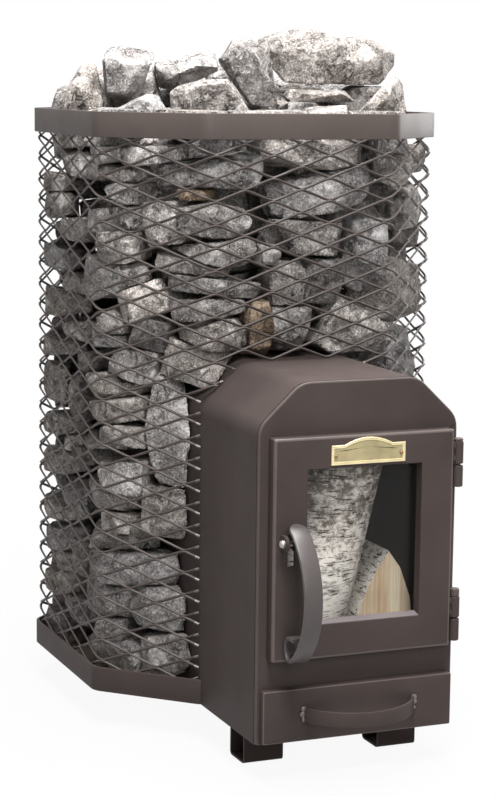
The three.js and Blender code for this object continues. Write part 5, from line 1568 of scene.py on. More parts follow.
@dataclass
class Firewood:
    """Logs behind the glass."""

    radius: float = 63.0
    length: float = 288.0
    lean: float = radians(13.8)
    foot: tuple[float, float, float] = (-56.0, -372.0, 157.3)
    split_front: float = -400.0
    split_length: float = 249.0
    base: float = 142.2

    def build(self, shop: Workshop, finishes: Finishes) -> None:
        """Makes the leaning log and the split log."""
        self.leaning(shop, finishes)
        self.split(shop, finishes)

    def leaning(self, shop: Workshop, finishes: Finishes) -> None:
        """Half-round log: radius(a, h) is uneven round the bark, and the back is a split face."""
        rng = np.random.default_rng(5)
        rows, spokes = 60, 72
        angle = np.radians(np.concatenate([np.linspace(185, 355, 54), np.linspace(20, 160, 18)]))
        height = np.linspace(0, self.length, rows)
        radius = np.where(np.sin(angle) > 0, 0.5 / np.maximum(np.abs(np.sin(angle)), 0.5), 1.0) * self.radius
        grid = np.empty((rows, spokes, 3))
        grid[..., 0] = radius * np.cos(angle)
        grid[..., 1] = radius * np.sin(angle)
        grid[..., 2] = height[:, None]
        flat = grid.reshape(-1, 3)
        uneven = 1 - 0.035 * ripple(flat * [1, 1, 0.35], 0.06, rng) - 0.015 * ripple(flat, 0.25, rng)
        flat[:, :2] *= uneven[:, None]
        ragged = 6 * (ripple(flat * [1, 1, 0], 0.12, rng) - 0.5)
        flat[:, 2] += np.clip(flat[:, 2] / self.length - 0.85, 0, 1) * 6 * np.minimum(ragged, 0)
        turn = np.array([[cos(self.lean), 0, sin(self.lean)], [0, 1, 0], [-sin(self.lean), 0, cos(self.lean)]])
        log = Surface.grid((flat @ turn.T + self.foot).reshape(rows, spokes, 3), capped=True)
        shop.add("birch_log", log, finishes.bark, Body.STOVE, "bark", ["log_leaning"])

    def split(self, shop: Workshop, finishes: Finishes) -> None:
        """Split log: its wedge-shaped end carried back, with bark along the curved side."""
        t = np.linspace(0, 1, 22)[:, None]
        apex, bulge, heel = np.array([74.0, 282.5]), np.array([38.0, 240.0]), np.array([18.5, self.base + 20])
        bark = (1 - t) ** 2 * apex + 2 * t * (1 - t) * bulge + t**2 * heel
        rest = np.array([[18.5, self.base], [60, self.base], [103.5, self.base], [111.5, 176], [107.5, 216], [91.5, 258]])
        outline = np.vstack([bark, rest])
        end = self.split_front + self.split_length
        middle = outline.mean(axis=0)
        rings = [(middle + (outline - middle) * 0.2, self.split_front + 1), (middle + (outline - middle) * 0.6, self.split_front + 0.6),
                 (middle + (outline - middle) * 0.985, self.split_front), (outline, self.split_front + 2)]
        rings += [(outline, y) for y in np.linspace(self.split_front + 12, end - 2, 10)]
        rings += [(middle + (outline - middle) * 0.985, end)]
        wedge = lofted(rings, Plane.FRONT)
        rng = np.random.default_rng(11)
        wedge.points[:, 0] -= 1.2 * ripple(wedge.points * [1, 0.2, 1], 0.2, rng)
        number = np.arange(len(wedge.quads))
        on_bark = (number % len(outline) < len(bark) - 1) & (number // len(outline) >= 2)
        marks = np.concatenate([on_bark, np.zeros(len(wedge.triangles), dtype=bool)])
        mesh = shop.mesh("split_log", wedge, marks=marks.astype(np.int64))
        shop.place("split_log", mesh, [finishes.wood, finishes.bark], Body.STOVE, "split_wood", ["log_split"])


# Stones


def chance(seed: float) -> float:
    """A number between 0 and 1 that depends only on its seed: the fraction of 43758.5453 sin(12.9898 seed)."""
    return sin(seed * 12.9898) * 43758.5453 % 1.0


def drawn(seed: float, limits: tuple[float, float]) -> float:
    """A number between two limits that depends only on its seed."""
    return limits[0] + (limits[1] - limits[0]) * chance(seed)


class Side(Enum):
    """Faces of the cage that known stones lie against, as the turn of their outward normal in degrees."""

    FRONT = -90.0
    CORNER = -135.0
    LEFT = 180.0


@dataclass
class Stone:
    """A stone: the block that it is cut from and the planes that bound it, all counted from its middle."""

    node: str
    middle: Array
    half: Array
    axes: Array
    corners: Array
    ways: Array
    tone: float
    seed: float
    known: bool = False
    hidden: bool = False
    full: bool = False
    planes: list[tuple[Array, float]] = field(default_factory=list)

    def bound(self, way: Array, far: float) -> None:
        """Bounds the stone in one direction."""
        self.planes.append((way / np.linalg.norm(way), far))

    def reach(self, ways: Array) -> Array:
        """How far the stone's block reaches in directions, given one to a row."""
        return (ways @ self.corners.T).max(axis=1)

    def core(self, place: Array, share: float) -> float:
        """Distance from a place to the middle share of the stone's block."""
        over = np.abs((place - self.middle) @ self.axes) - share * self.half
        return float(np.linalg.norm(np.clip(over, 0, None)))

    def break_face(self, way: Array, far: float, seed: float) -> None:
        """Bounds the stone in one direction by three broken faces that lean away from it.

        Args:
            way: Direction of the face.
            far: Furthest distance of the faces.
            seed: Number that sets their lean.
        """
        across = np.cross(way, [0.0, 0.0, 1.0])
        across /= np.linalg.norm(across)
        rise = np.cross(across, way)
        for i in range(3):
            turn = 2 * pi * (chance(seed) + i / 3)
            lean = drawn(seed + i + 0.1, (0.25, 0.62))
            facing = way + lean * (cos(turn) * across + sin(turn) * rise)
            self.bound(facing, far * drawn(seed + i + 0.2, (0.82, 1.0)))

    def deepest(self) -> tuple[Array, float]:
        """The place furthest inside the stone's planes, found by ever shorter steps away from the nearest plane.

        Returns:
            The place, counted from the middle, and its depth.
        """
        normals = np.array([way for way, _ in self.planes])
        heights = np.array([far for _, far in self.planes])
        place = np.zeros(3)
        for step in np.geomspace(16, 0.1, 120):
            place = place - step * normals[np.argmin(heights - normals @ place)]
        return place, float((heights - normals @ place).min())


@dataclass
class StoneFill:
    """Stones packed in the cage and heaped above its rim.

    Those seen behind the mesh have known places, others fall where chance puts them, and each pair that would meet
    is parted by a plane.
    """

    wall: float = 249.4
    corner_wall: float = 273.1
    reach: float = 253.4
    bottom: float = 58.3
    top: float = 845.7
    heap_base: float = 846.0
    box_half: float = 145.0
    box_back: float = 147.0
    box_top: float = 529.0
    shoulder: float = 472.0
    crown: float = 85.0
    high_up: float = 597.0
    flue_room: float = 60.9
    flue_height: float = 452.0
    view_turn: float = radians(22.5)
    gap: float = 1.4
    contact: float = 0.4
    clear: float = 0.34
    core: float = 0.6
    growth: float = 1.08
    least_depth: float = 24.0
    least_room: float = 7.0
    edge_power: float = 150.0
    breaks: int = 7
    break_lean: float = 1.05
    break_depth: tuple[float, float] = (0.68, 0.94)
    heap_front: float = -30.0
    heap_front_top: float = 868.0
    heap_lean: float = 0.7
    heap_depth: tuple[float, float] = (0.8, 0.96)
    crease: float = radians(15)
    lit_sides: tuple[float, float] = (1.0, 1.45)
    edge_places: tuple[tuple[float, float], ...] = ((-226.0, 120.0), (-176.0, 150.0))
    edge_size: tuple[float, float, float] = (104.0, 104.0, 84.0)
    edge_rise: float = 62.0
    edge_count: int = 12
    inner_places: tuple[tuple[float, float, float], ...] = (
        (-172.0, 112.0, 720.0), (-205.0, 160.0, 662.0), (-203.0, 158.0, 546.0))
    chips: tuple[tuple[float, int, float], ...] = ((58.0, 2400, 42.0), (46.0, 2400, 28.0))
    shown_room: float = 60.0
    fill: tuple[tuple[float, int, float], ...] = (
        (130.0, 2600, 400.0), (100.0, 2600, 400.0), (82.0, 1600, 110.0), (72.0, 2200, 55.0))
    bed_fill: tuple[tuple[float, int, float], ...] = ((92.0, 900, 400.0), (74.0, 700, 400.0))

    # Place along the face, height, width, height of stone, depth, turn in degrees, tone
    corner_stones: tuple[tuple[float, ...], ...] = (
        (-86, 806, 47, 39, 90, 10, 1.05), (-16, 811, 98, 36, 90, 4, 1.4), (-60, 767, 86, 50, 95, -18, 1.0),
        (10, 718, 101, 112, 105, 8, 1.3), (40, 758, 44, 34, 90, 0, -1.0), (-72, 692, 64, 74, 100, -5, 1.15),
        (-38, 611, 118, 106, 110, 20, 1.8), (30, 654, 92, 58, 95, -10, 0.9), (-77, 562, 58, 60, 95, 0, 0.95),
        (-36, 513, 84, 74, 100, -12, 1.0), (42, 530, 104, 80, 100, -15, 0.9), (15, 426, 68, 160, 90, 3, 1.3),
        (-72, 455, 100, 73, 90, 10, 0.85), (-65, 403, 85, 58, 80, -5, 0.95), (-58, 345, 84, 86, 95, 6, 1.4),
        (5, 305, 74, 80, 80, 0, 0.9), (-55, 288, 64, 50, 70, 0, 0.85), (-40, 232, 145, 84, 100, 3, 1.0),
        (-9, 170, 108, 66, 90, -4, 1.0), (11, 107, 95, 66, 90, 10, 0.95), (-78, 127, 52, 56, 70, 0, 0.9),
    )
    front_stones: tuple[tuple[float, ...], ...] = (
        (-103, 776, 140, 92, 115, 8, 0.85), (31, 811, 177, 44, 95, -3, 1.1), (58, 757, 168, 84, 115, 12, 0.95),
        (-108, 721, 116, 50, 95, -8, 0.95), (41, 694, 130, 68, 105, -3, 0.8), (-104, 675, 108, 42, 90, 4, 1.0),
        (-104, 632, 112, 48, 95, -6, 0.95), (-36, 672, 28, 26, 50, 0, 0.8), (-7, 628, 56, 66, 85, 12, 1.0),
        (49, 631, 73, 76, 95, -6, 0.75), (1, 571, 68, 72, 95, 0, 0.85), (-49, 574, 40, 86, 80, 0, -1.0),
        (-114, 597, 103, 33, 80, 5, 0.85), (-110, 562, 92, 46, 80, -6, 0.95), (116, 668, 62, 100, 95, -8, 0.85),
        (93, 572, 116, 98, 110, -30, 1.45), (132, 806, 34, 48, 70, 0, 0.7),
    )

    left_stones: tuple[tuple[float, ...], ...] = (
        (76, 98, 132, 78, 96, 4, 1.2), (70, 174, 140, 70, 90, -5, 1.02), (78, 250, 126, 80, 98, 6, 1.32),
        (70, 326, 138, 70, 92, -4, 1.08), (76, 400, 128, 76, 96, 5, 0.96), (68, 474, 140, 70, 92, -6, 1.26),
        (78, 548, 124, 76, 98, 4, 1.14), (70, 624, 138, 74, 94, -5, 1.02), (76, 700, 128, 76, 96, 6, 1.2),
        (70, 772, 138, 66, 92, -4, 1.08), (76, 822, 120, 36, 90, 3, 1.32), (-70, 106, 144, 92, 94, -4, 1.08),
        (-74, 196, 132, 84, 98, 6, 1.26), (-66, 284, 144, 86, 92, -5, 0.96), (-74, 370, 134, 82, 96, 5, 1.2),
        (-66, 452, 144, 80, 92, -6, 1.02), (-74, 534, 132, 82, 98, 5, 1.32), (-66, 616, 142, 78, 94, -4, 1.08),
        (-74, 694, 134, 76, 96, 6, 1.2), (-66, 768, 142, 70, 92, -5, 1.02), (-74, 822, 126, 36, 90, 4, 1.14),
    )

    # Node, place away from the viewer, depth, tone, and the outline as places across and heights
    heap: tuple[tuple[str, float, float, float, tuple[tuple[float, float], ...]], ...] = (
        ("heap_stone_big", 20, 124, 1.12, (
            (30, 972), (89, 986), (105, 986), (215, 968), (240, 950), (240, 912), (218, 884), (76, 886), (40, 926))),
        ("heap_stone_centre", -88, 92, 0.74, (
            (-21, 937), (-2, 967), (28, 971), (48, 947), (69, 912), (77, 866), (70, 846), (36, 846), (-13, 915))),
        ("heap_stone_right", -56, 96, 1.1, (
            (182, 870), (232, 925), (246, 904), (252, 868), (250, 846), (182, 846))),
        ("heap_stone_slab", -160, 84, 1.1, (
            (-87, 892), (-75, 901), (-44, 909), (0, 911), (31, 872), (30, 846), (-84, 846))),
        ("heap_stone_long", 20, 120, 1.02, (
            (-123, 931), (-53, 948), (-21, 954), (-20, 921), (-83, 892), (-112, 896))),
        ("heap_stone_tall", -34, 92, 1.05, (
            (-192, 932), (-180, 955), (-150, 957), (-111, 951), (-110, 937), (-126, 895), (-144, 870), (-186, 864))),
        ("heap_stone_left", -36, 104, 1.08, (
            (-252, 877), (-220, 929), (-192, 934), (-184, 898), (-189, 846), (-250, 846))),
        ("heap_bed", -60, 90, 0.85, ((71, 890), (89, 901), (160, 898), (178, 879), (123, 866), (85, 866))),
        ("heap_bed", -150, 70, 1.05, ((-180, 859), (-121, 889), (-102, 887), (-86, 860), (-88, 846), (-178, 846))),
        ("heap_bed", -166, 60, 1.05, ((76, 864), (109, 874), (174, 877), (181, 865), (179, 846), (78, 846))),
    )

    # Place across, place away, height, and sizes of the larger stones at the back of the heap
    heap_back: tuple[tuple[float, ...], ...] = (
        (-150, 120, 884, 130, 110, 76), (0, 158, 888, 140, 110, 84), (140, 140, 880, 120, 100, 70),
    )

    def build(self, shop: Workshop, finishes: Finishes) -> None:
        """Lays out the stones in the cage and in the heap, and makes the pieces."""
        stones = [stone for part in (self.cage_stones(), self.heap_stones()) for stone in self.parted(part)]
        for name in dict.fromkeys(stone.node for stone in stones):
            own = [stone for stone in stones if stone.node == name]
            known, loose = ([stone for stone in own if stone.known is kind] for kind in (True, False))
            self.piece(shop, finishes, name, name, known or loose)
            if known and loose:
                self.piece(shop, finishes, f"{name}_between", name, loose)

    def cage_sides(self, bottom: float, top: float) -> list[tuple[Array, float]]:
        """Planes of the cage's inside between two heights: outward normal and distance from its middle."""
        angles = np.arange(8) * pi / 4
        walls = [
            (np.array([cos(a), sin(a), 0.0]), self.corner_wall if i % 2 else self.wall) for i, a in enumerate(angles)
        ]
        return [*walls, (np.array([0.0, 0.0, -1.0]), -bottom), (np.array([0.0, 0.0, 1.0]), top)]

    def nearest_box_side(self, place: Array) -> tuple[Array, float]:
        """Outward normal of the side of the firebox that a place lies in front of, and its distance from it."""
        slope = np.array([self.box_top - self.shoulder, 0.0, self.box_half - self.crown])
        slope /= np.linalg.norm(slope)
        shoulder = float(slope @ [self.box_half, 0, self.shoulder])
        sides = [
            (np.array([-1.0, 0.0, 0.0]), self.box_half), (slope * [-1, 1, 1], shoulder),
            (np.array([0.0, 0.0, 1.0]), self.box_top), (slope, shoulder), (np.array([1.0, 0.0, 0.0]), self.box_half),
            (np.array([0.0, 1.0, 0.0]), self.box_back),
        ]
        return max(((way, float(way @ place) - far) for way, far in sides), key=lambda side: side[1])

    def flue_side(self, place: Array) -> tuple[Array, float]:
        """Direction and distance of a place from the flue, endless in front of it."""
        out = place * [1, 0, 1] - [0, 0, self.flue_height]
        length = float(np.linalg.norm(out))
        return out / length, length - self.flue_room if place[1] > 0 else np.inf

    def bank(self, place: Array) -> str:
        """Name of the bank that a stone inside the cage belongs to: high up one for all, else by the nearest side."""
        way, _ = self.nearest_box_side(place)
        if way[2] == 1 or place[2] > self.high_up:
            return "stones_over_firebox"
        if way[1] > 0:
            return "stones_back"
        return "stones_left" if way[0] < 0 else "stones_right"

    @staticmethod
    def rough(
        node: str, middle: Array, size: Array, axes: Array, tone: float, seed: float, shown: bool = True,
    ) -> Stone:
        """A stone cut from a block: its sides lean and, where it shows, its corners are cut off by chance.

        Args:
            node: Name of its bank.
            middle: Middle of the block.
            size: Size of the block.
            axes: Its axes, one to a column.
            tone: Lightness, below 0 for a brown stone.
            seed: Number that sets its shape.
            shown: Whether it lies where it can be seen.

        Returns:
            The stone.
        """
        half = size / 2
        signs = np.array([(x, y, z) for x in (-1, 1) for y in (-1, 1) for z in (-1, 1)], dtype=float)
        stone = Stone(node, middle, half, axes, signs * half @ axes.T, axes.T, tone, seed, hidden=not shown)
        for axis in range(3):
            for end in (-1, 1):
                own = seed + axis * 2 + end * 0.5
                way = np.array([0.22 * (2 * chance(own + step) - 1) for step in (0.1, 0.2, 0.3)])
                way[axis] = end
                stone.bound(axes @ way, half[axis] * drawn(own + 0.4, (0.96, 1.06)))
                stone.bound(axes[:, axis] * end, half[axis])
        for i, sign in enumerate(signs if shown else ()):
            own = seed + 10 + i
            way = sign / half * [0.6 + 0.8 * chance(own + step) for step in (0.1, 0.2, 0.3)]
            way /= np.linalg.norm(way)
            stone.bound(axes @ way, float(way @ (sign * half)) * drawn(own + 0.4, (0.6, 1.3)))
        return stone

    def seat(self, across: float, away: float, height: float) -> Array:
        """Place in the heap, given across and away as seen from the front left."""
        c, s = cos(self.view_turn), sin(self.view_turn)
        return np.array([across * c + away * s, -across * s + away * c, height])

    def outlined(
        self, node: str, away: float, deep: float, tone: float, outline: Sequence[tuple[float, float]], seed: float,
    ) -> Stone:
        """A stone from its outline in the heap: each edge leans to the front and to the back.

        Args:
            node: Name of the stone's node.
            away: Place away from the viewer.
            deep: Depth.
            tone: Lightness.
            outline: Places across and heights, clockwise.
            seed: Number that sets its shape.

        Returns:
            The stone.
        """
        flat = np.array(outline, dtype=float)
        low, high = flat.min(axis=0), flat.max(axis=0)
        centre = (low + high) / 2
        flat -= centre
        axes = np.stack([self.seat(1, 0, 0), self.seat(0, 1, 0), [0, 0, 1]], axis=1)
        step = np.roll(flat, -1, axis=0) - flat
        out = np.stack([-step[:, 1], step[:, 0]], axis=-1) / np.linalg.norm(step, axis=1, keepdims=True)
        ends = np.vstack([np.insert(flat, 1, end * deep / 2, axis=1) for end in (-1, 1)])
        ways = np.vstack([np.insert(out, 1, 0, axis=1), [[0, 1, 0]]]) @ axes.T
        half = np.array([high[0] - low[0], deep, high[1] - low[1]]) / 2
        middle = self.seat(centre[0], away, centre[1])
        stone = Stone(node, middle, half, axes, ends @ axes.T, ways, tone, seed, known=True)
        for i, (normal, corner) in enumerate(zip(out, flat)):
            for end in (-1, 1):
                lean = drawn(seed + i + end * 0.2, (0.12, 0.55))
                way = np.array([normal[0] * cos(lean), end * sin(lean), normal[1] * cos(lean)])
                stone.bound(axes @ way, float(normal @ corner) * cos(lean))
        for i, end in enumerate((-1, 1)):
            stone.bound(self.seat(0, end, 0), deep / 2)
            stone.break_face(self.seat(0, end, 0), deep / 2, seed + 20 + i * 3)
        return stone

    def face_stones(self, rows: Sequence[tuple[float, ...]], side: Side, seed: float) -> list[Stone]:
        """Known stones behind one face of the cage.

        Args:
            rows: Place along the face, height, width, height of stone, depth, turn and tone.
            side: The face.
            seed: Number that sets the first stone's shape.

        Returns:
            The stones.
        """
        out = np.array([cos(radians(side.value)), sin(radians(side.value)), 0.0])
        along, up = np.array([-out[1], out[0], 0.0]), np.array([0.0, 0.0, 1.0])
        wall = self.corner_wall if side is Side.CORNER else self.wall
        stones = []
        for number, (place, height, wide, tall, depth, turn, tone) in enumerate(rows):
            front = along * place + out * wall + up * height
            way, room = self.nearest_box_side(front)
            into = -float(way @ out)
            deep = max(min(depth, room / into if into > 1e-9 else depth), self.least_depth)
            middle = front - out * deep / 2
            c, s = cos(radians(turn)), sin(radians(turn))
            axes = np.stack([along * c + up * s, -out, up * c - along * s], axis=1)
            size = np.array([wide * self.growth, deep, tall * self.growth])
            own = seed + 40 * number
            stone = self.rough(self.bank(middle), middle, size, axes, tone, own)
            stone.break_face(out, deep / 2, own + 30)
            stone.known = True
            stones.append(stone)
        return stones

    def add_loose(
        self, stones: list[Stone], fills: Sequence[tuple[float, int, float]], low: Array, high: Array, node: str | None,
        seed: float,
    ) -> None:
        """Adds stones by chance, the largest first, where they are clear of all before them.

        Args:
            stones: Stones so far, which the new ones join.
            fills: Size of stone, number of tries, and how near the cage's walls they must be.
            low, high: Limits of the places.
            node: Name of their node, or none for the banks in the cage.
            seed: Number that sets the first try.
        """
        walls = self.cage_sides(self.bottom, self.top)
        for step, (size, tries, near) in enumerate(fills):
            for i in range(tries):
                own = seed + (step * tries + i) * 40
                place = low + (high - low) * [chance(own + shift) for shift in (0.1, 0.2, 0.3)]
                rooms = [far - float(way @ place) for way, far in walls]
                room = min(self.nearest_box_side(place)[1], self.flue_side(place)[1], *rooms[:8 if node else 10])
                if room < self.clear * size or min(rooms[:8]) > near:
                    continue
                if any(stone.core(place, self.core) < self.clear * size for stone in stones):
                    continue
                limits = ((1.15, 1.35), (0.95, 1.2), (0.8, 1.1))
                sides = np.array([size * drawn(own + 1 + axis, pair) for axis, pair in enumerate(limits)])
                turn = [0.5 * (chance(own + 4) - 0.5), 0.5 * (chance(own + 5) - 0.5), pi * chance(own + 6)]
                spin = [Matrix.Rotation(angle, 3, axis) for angle, axis in zip(turn, "XYZ")]
                axes = np.array(spin[0] @ spin[1] @ spin[2])
                tone = drawn(own + 8, (0.62, 1.22))
                shown = min(rooms[:8]) < self.shown_room
                stones.append(self.rough(node or self.bank(place), place, sides, axes, tone, own + 7, shown))

    def cage_stones(self) -> list[Stone]:
        """Stones inside the cage, each kept off the mesh, the firebox and the flue."""
        corner = self.face_stones(self.corner_stones, Side.CORNER, 1)
        front = self.face_stones(self.front_stones, Side.FRONT, 1001)
        left = self.face_stones(self.left_stones, Side.LEFT, 2001)
        # painted light: the tones of stones on the corner and left faces are raised, more towards the top, to stand in
        # for light on those faces
        for stone in corner + left:
            stone.tone *= np.interp(stone.middle[2], (self.bottom, self.top), self.lit_sides)
        stones = corner + front + left
        low, high = np.array([-self.reach, -self.reach, self.bottom]), np.array([self.reach, self.reach, self.top])
        self.add_loose(stones, self.fill, low, high, None, 5000)
        stones += self.edge_stones()
        self.add_loose(stones, self.chips, low, high, None, 700000)
        for stone in stones:
            for way, far in self.cage_sides(self.bottom, self.top):
                stone.bound(way, far - float(way @ stone.middle))
            for way, room in (self.nearest_box_side(stone.middle), self.flue_side(stone.middle)):
                if room < self.reach:
                    stone.bound(-way, room)
        return stones

    def edge_stones(self) -> list[Stone]:
        """Columns of stones in the bend between the left and the back left face, and some between the columns."""
        turn = Matrix.Rotation(-pi / 8, 3, "Z")
        stones = []
        places = [
            (*spot, self.bottom + self.edge_rise * (row + 0.5 + 0.4 * column))
            for column, spot in enumerate(self.edge_places) for row in range(self.edge_count)
        ]
        for number, spot in enumerate([*places, *self.inner_places]):
            seed = 8000 + 40 * number
            place = np.array(spot) + [0, 0, 0.3 * self.edge_rise * (chance(seed + 0.1) - 0.5)]
            size = np.array(self.edge_size) * drawn(seed + 0.2, (0.88, 1.12))
            tilt = Matrix.Rotation(0.4 * (chance(seed + 0.3) - 0.5), 3, "Y")
            tone = drawn(seed + 0.4, (1.1, 1.55))
            stone = self.rough(self.bank(place), place, size, np.array(turn @ tilt), tone, seed + 1)
            stone.full = True
            stones.append(stone)
        return stones

    def heap_stones(self) -> list[Stone]:
        """Stones heaped above the rim and the bed of smaller ones that carries them."""
        stones = [self.outlined(*row, 3000 + 40 * number) for number, row in enumerate(self.heap)]
        c, s = cos(self.view_turn), sin(self.view_turn)
        axes = np.array([[c, s, 0.0], [-s, c, 0.0], [0.0, 0.0, 1.0]])
        for number, (across, away, height, *size) in enumerate(self.heap_back):
            middle = self.seat(across, away, height)
            stones.append(self.rough("heap_bed", middle, np.array(size), axes, 1.0, 3500 + 40 * number))
        low, high = np.array([-self.reach, -self.reach, 860.0]), np.array([self.reach, self.reach, 874.0])
        self.add_loose(stones, self.bed_fill, low, high, "heap_bed", 900000)
        away = self.seat(0, 1, 0)
        for stone in stones:
            low_front = not stone.known and float(away @ stone.middle) < self.heap_front
            for way, far in self.cage_sides(self.heap_base, self.heap_front_top if low_front else 2 * self.heap_base):
                stone.bound(way, far - float(way @ stone.middle))
        return stones

    def parted(self, stones: list[Stone]) -> list[Stone]:
        """Parts each pair of stones by a plane in the direction where they come nearest to standing clear.

        The plane divides the distance between their middles in the ratio of their reach.

        Args:
            stones: Stones, whose planes are added to.

        Returns:
            The stones that have room left.
        """
        for i, first in enumerate(stones):
            for second in stones[i + 1:]:
                offset = second.middle - first.middle
                length = float(np.linalg.norm(offset))
                if length >= np.linalg.norm(first.half) + np.linalg.norm(second.half):
                    continue
                ways = np.vstack([first.ways, second.ways, offset[None] / length])
                ways = np.where((ways @ offset < 0)[:, None], -ways, ways)
                apart, mine, theirs = ways @ offset, first.reach(ways), second.reach(-ways)
                best = int(np.argmax(apart - mine - theirs))
                if apart[best] - mine[best] - theirs[best] > self.contact:
                    continue
                share = apart[best] * mine[best] / (mine[best] + theirs[best])
                first.bound(ways[best], share - self.gap / 2)
                second.bound(-ways[best], apart[best] - share - self.gap / 2)
        return [stone for stone in stones if stone.deepest()[1] > self.least_room]

    def reach_along(self, way: Array, normals: Array, heights: Array) -> Array:
        """Radius along directions inside planes: (sum of (d.n / h)^p)^(-1/p).

        Args:
            way: Unit directions.
            normals: Outward normals of the planes.
            heights: Distances of the planes from the middle.

        Returns:
            The radius along each direction.
        """
        reach = np.clip(way @ normals.T, 0, None) / heights
        largest = reach.max(axis=1, keepdims=True)
        return 1 / (largest[:, 0] * ((reach / largest) ** self.edge_power).sum(axis=1) ** (1 / self.edge_power))

    def facing(self, stone: Stone) -> Array:
        """The side of a stone that shows: out through the nearest wall, or up and to the front on the heap.

        Args:
            stone: Stone in the cage or on the heap.

        Returns:
            Unit direction.
        """
        if stone.middle[2] > self.heap_base:
            way = np.array([-sin(self.view_turn), -cos(self.view_turn), 0.6])
            return way / np.linalg.norm(way)
        walls = self.cage_sides(self.bottom, self.top)[:8]
        return min(walls, key=lambda wall: wall[1] - float(wall[0] @ stone.middle))[0]

    def surface(self, stone: Stone) -> Surface:
        """Surface of a stone inside its planes, with small broken faces across its corners, worn by two ripples.

        Args:
            stone: Stone with its planes.

        Returns:
            The surface.
        """
        rng = np.random.default_rng(int(stone.seed))
        place, _ = stone.deepest()
        middle = stone.middle + place
        hidden = stone.hidden and middle[2] < self.top - 60
        heaped = stone.known and middle[2] > self.heap_base
        rings, spokes = (72, 128) if heaped else (38, 68) if stone.known else (10, 18) if hidden else (24, 42)
        spin = np.array(Matrix.Rotation(rng.uniform(0, 2 * pi), 3, Vector(rng.normal(size=3)).normalized()))
        way = directions(rings, spokes) @ spin.T
        normals = np.array([plane[0] for plane in stone.planes])
        heights = np.array([plane[1] for plane in stone.planes]) - normals @ place
        breaks = rng.normal(size=(self.breaks, 3))
        lean, depth = self.break_lean, self.break_depth
        if heaped or stone.full:
            lean, depth = self.heap_lean, self.heap_depth
        breaks = self.facing(stone) + lean * breaks / np.linalg.norm(breaks, axis=1, keepdims=True)
        breaks /= np.linalg.norm(breaks, axis=1, keepdims=True)
        whole = way * self.reach_along(way, normals, heights)[:, None]
        cuts = (whole @ breaks.T).max(axis=0) * rng.uniform(*depth, self.breaks)
        radius = self.reach_along(way, np.vstack([normals, breaks]), np.concatenate([heights, cuts]))
        crags = np.abs(2 * ripple(way, 5.0, rng) - 1)
        radius *= 1.012 - 0.05 * crags - 0.025 * ripple(way, 15.0, rng, 9)
        points = middle + way * radius[:, None]
        return Surface.grid(points[:-2].reshape(rings, spokes, 3), ends=points[-2:])

    @staticmethod
    def tint(stone: Stone) -> Array:
        """Tint of a stone from its tone: brown for a negative one, else grey with a slight cast."""
        if stone.tone < 0:
            return np.array([0.8, 0.64, 0.49])
        return stone.tone * (1 + 0.03 * (2 * chance(stone.seed + 0.7) - 1) * np.array([1.0, 0.1, -1.1]))

    def piece(self, shop: Workshop, finishes: Finishes, name: str, node: str, stones: list[Stone]) -> None:
        """Makes the stones of a bank, or one stone of the heap, as a piece.

        Args:
            shop: Maker of the pieces.
            finishes: Materials.
            name: Name of the piece.
            node: Node that the piece stands for.
            stones: Its stones.
        """
        surfaces = [self.surface(stone) for stone in stones]
        tints = np.vstack([
            np.tile(self.tint(stone), (len(surface.points), 1)) for stone, surface in zip(stones, surfaces)
        ])
        mesh = shop.mesh(f"rocks_{name}", Surface.join(surfaces), tints=tints, crease=self.crease)
        shop.place(f"rocks_{name}", mesh, [finishes.rock], Body.STOVE, "stone", [node])


# Studio


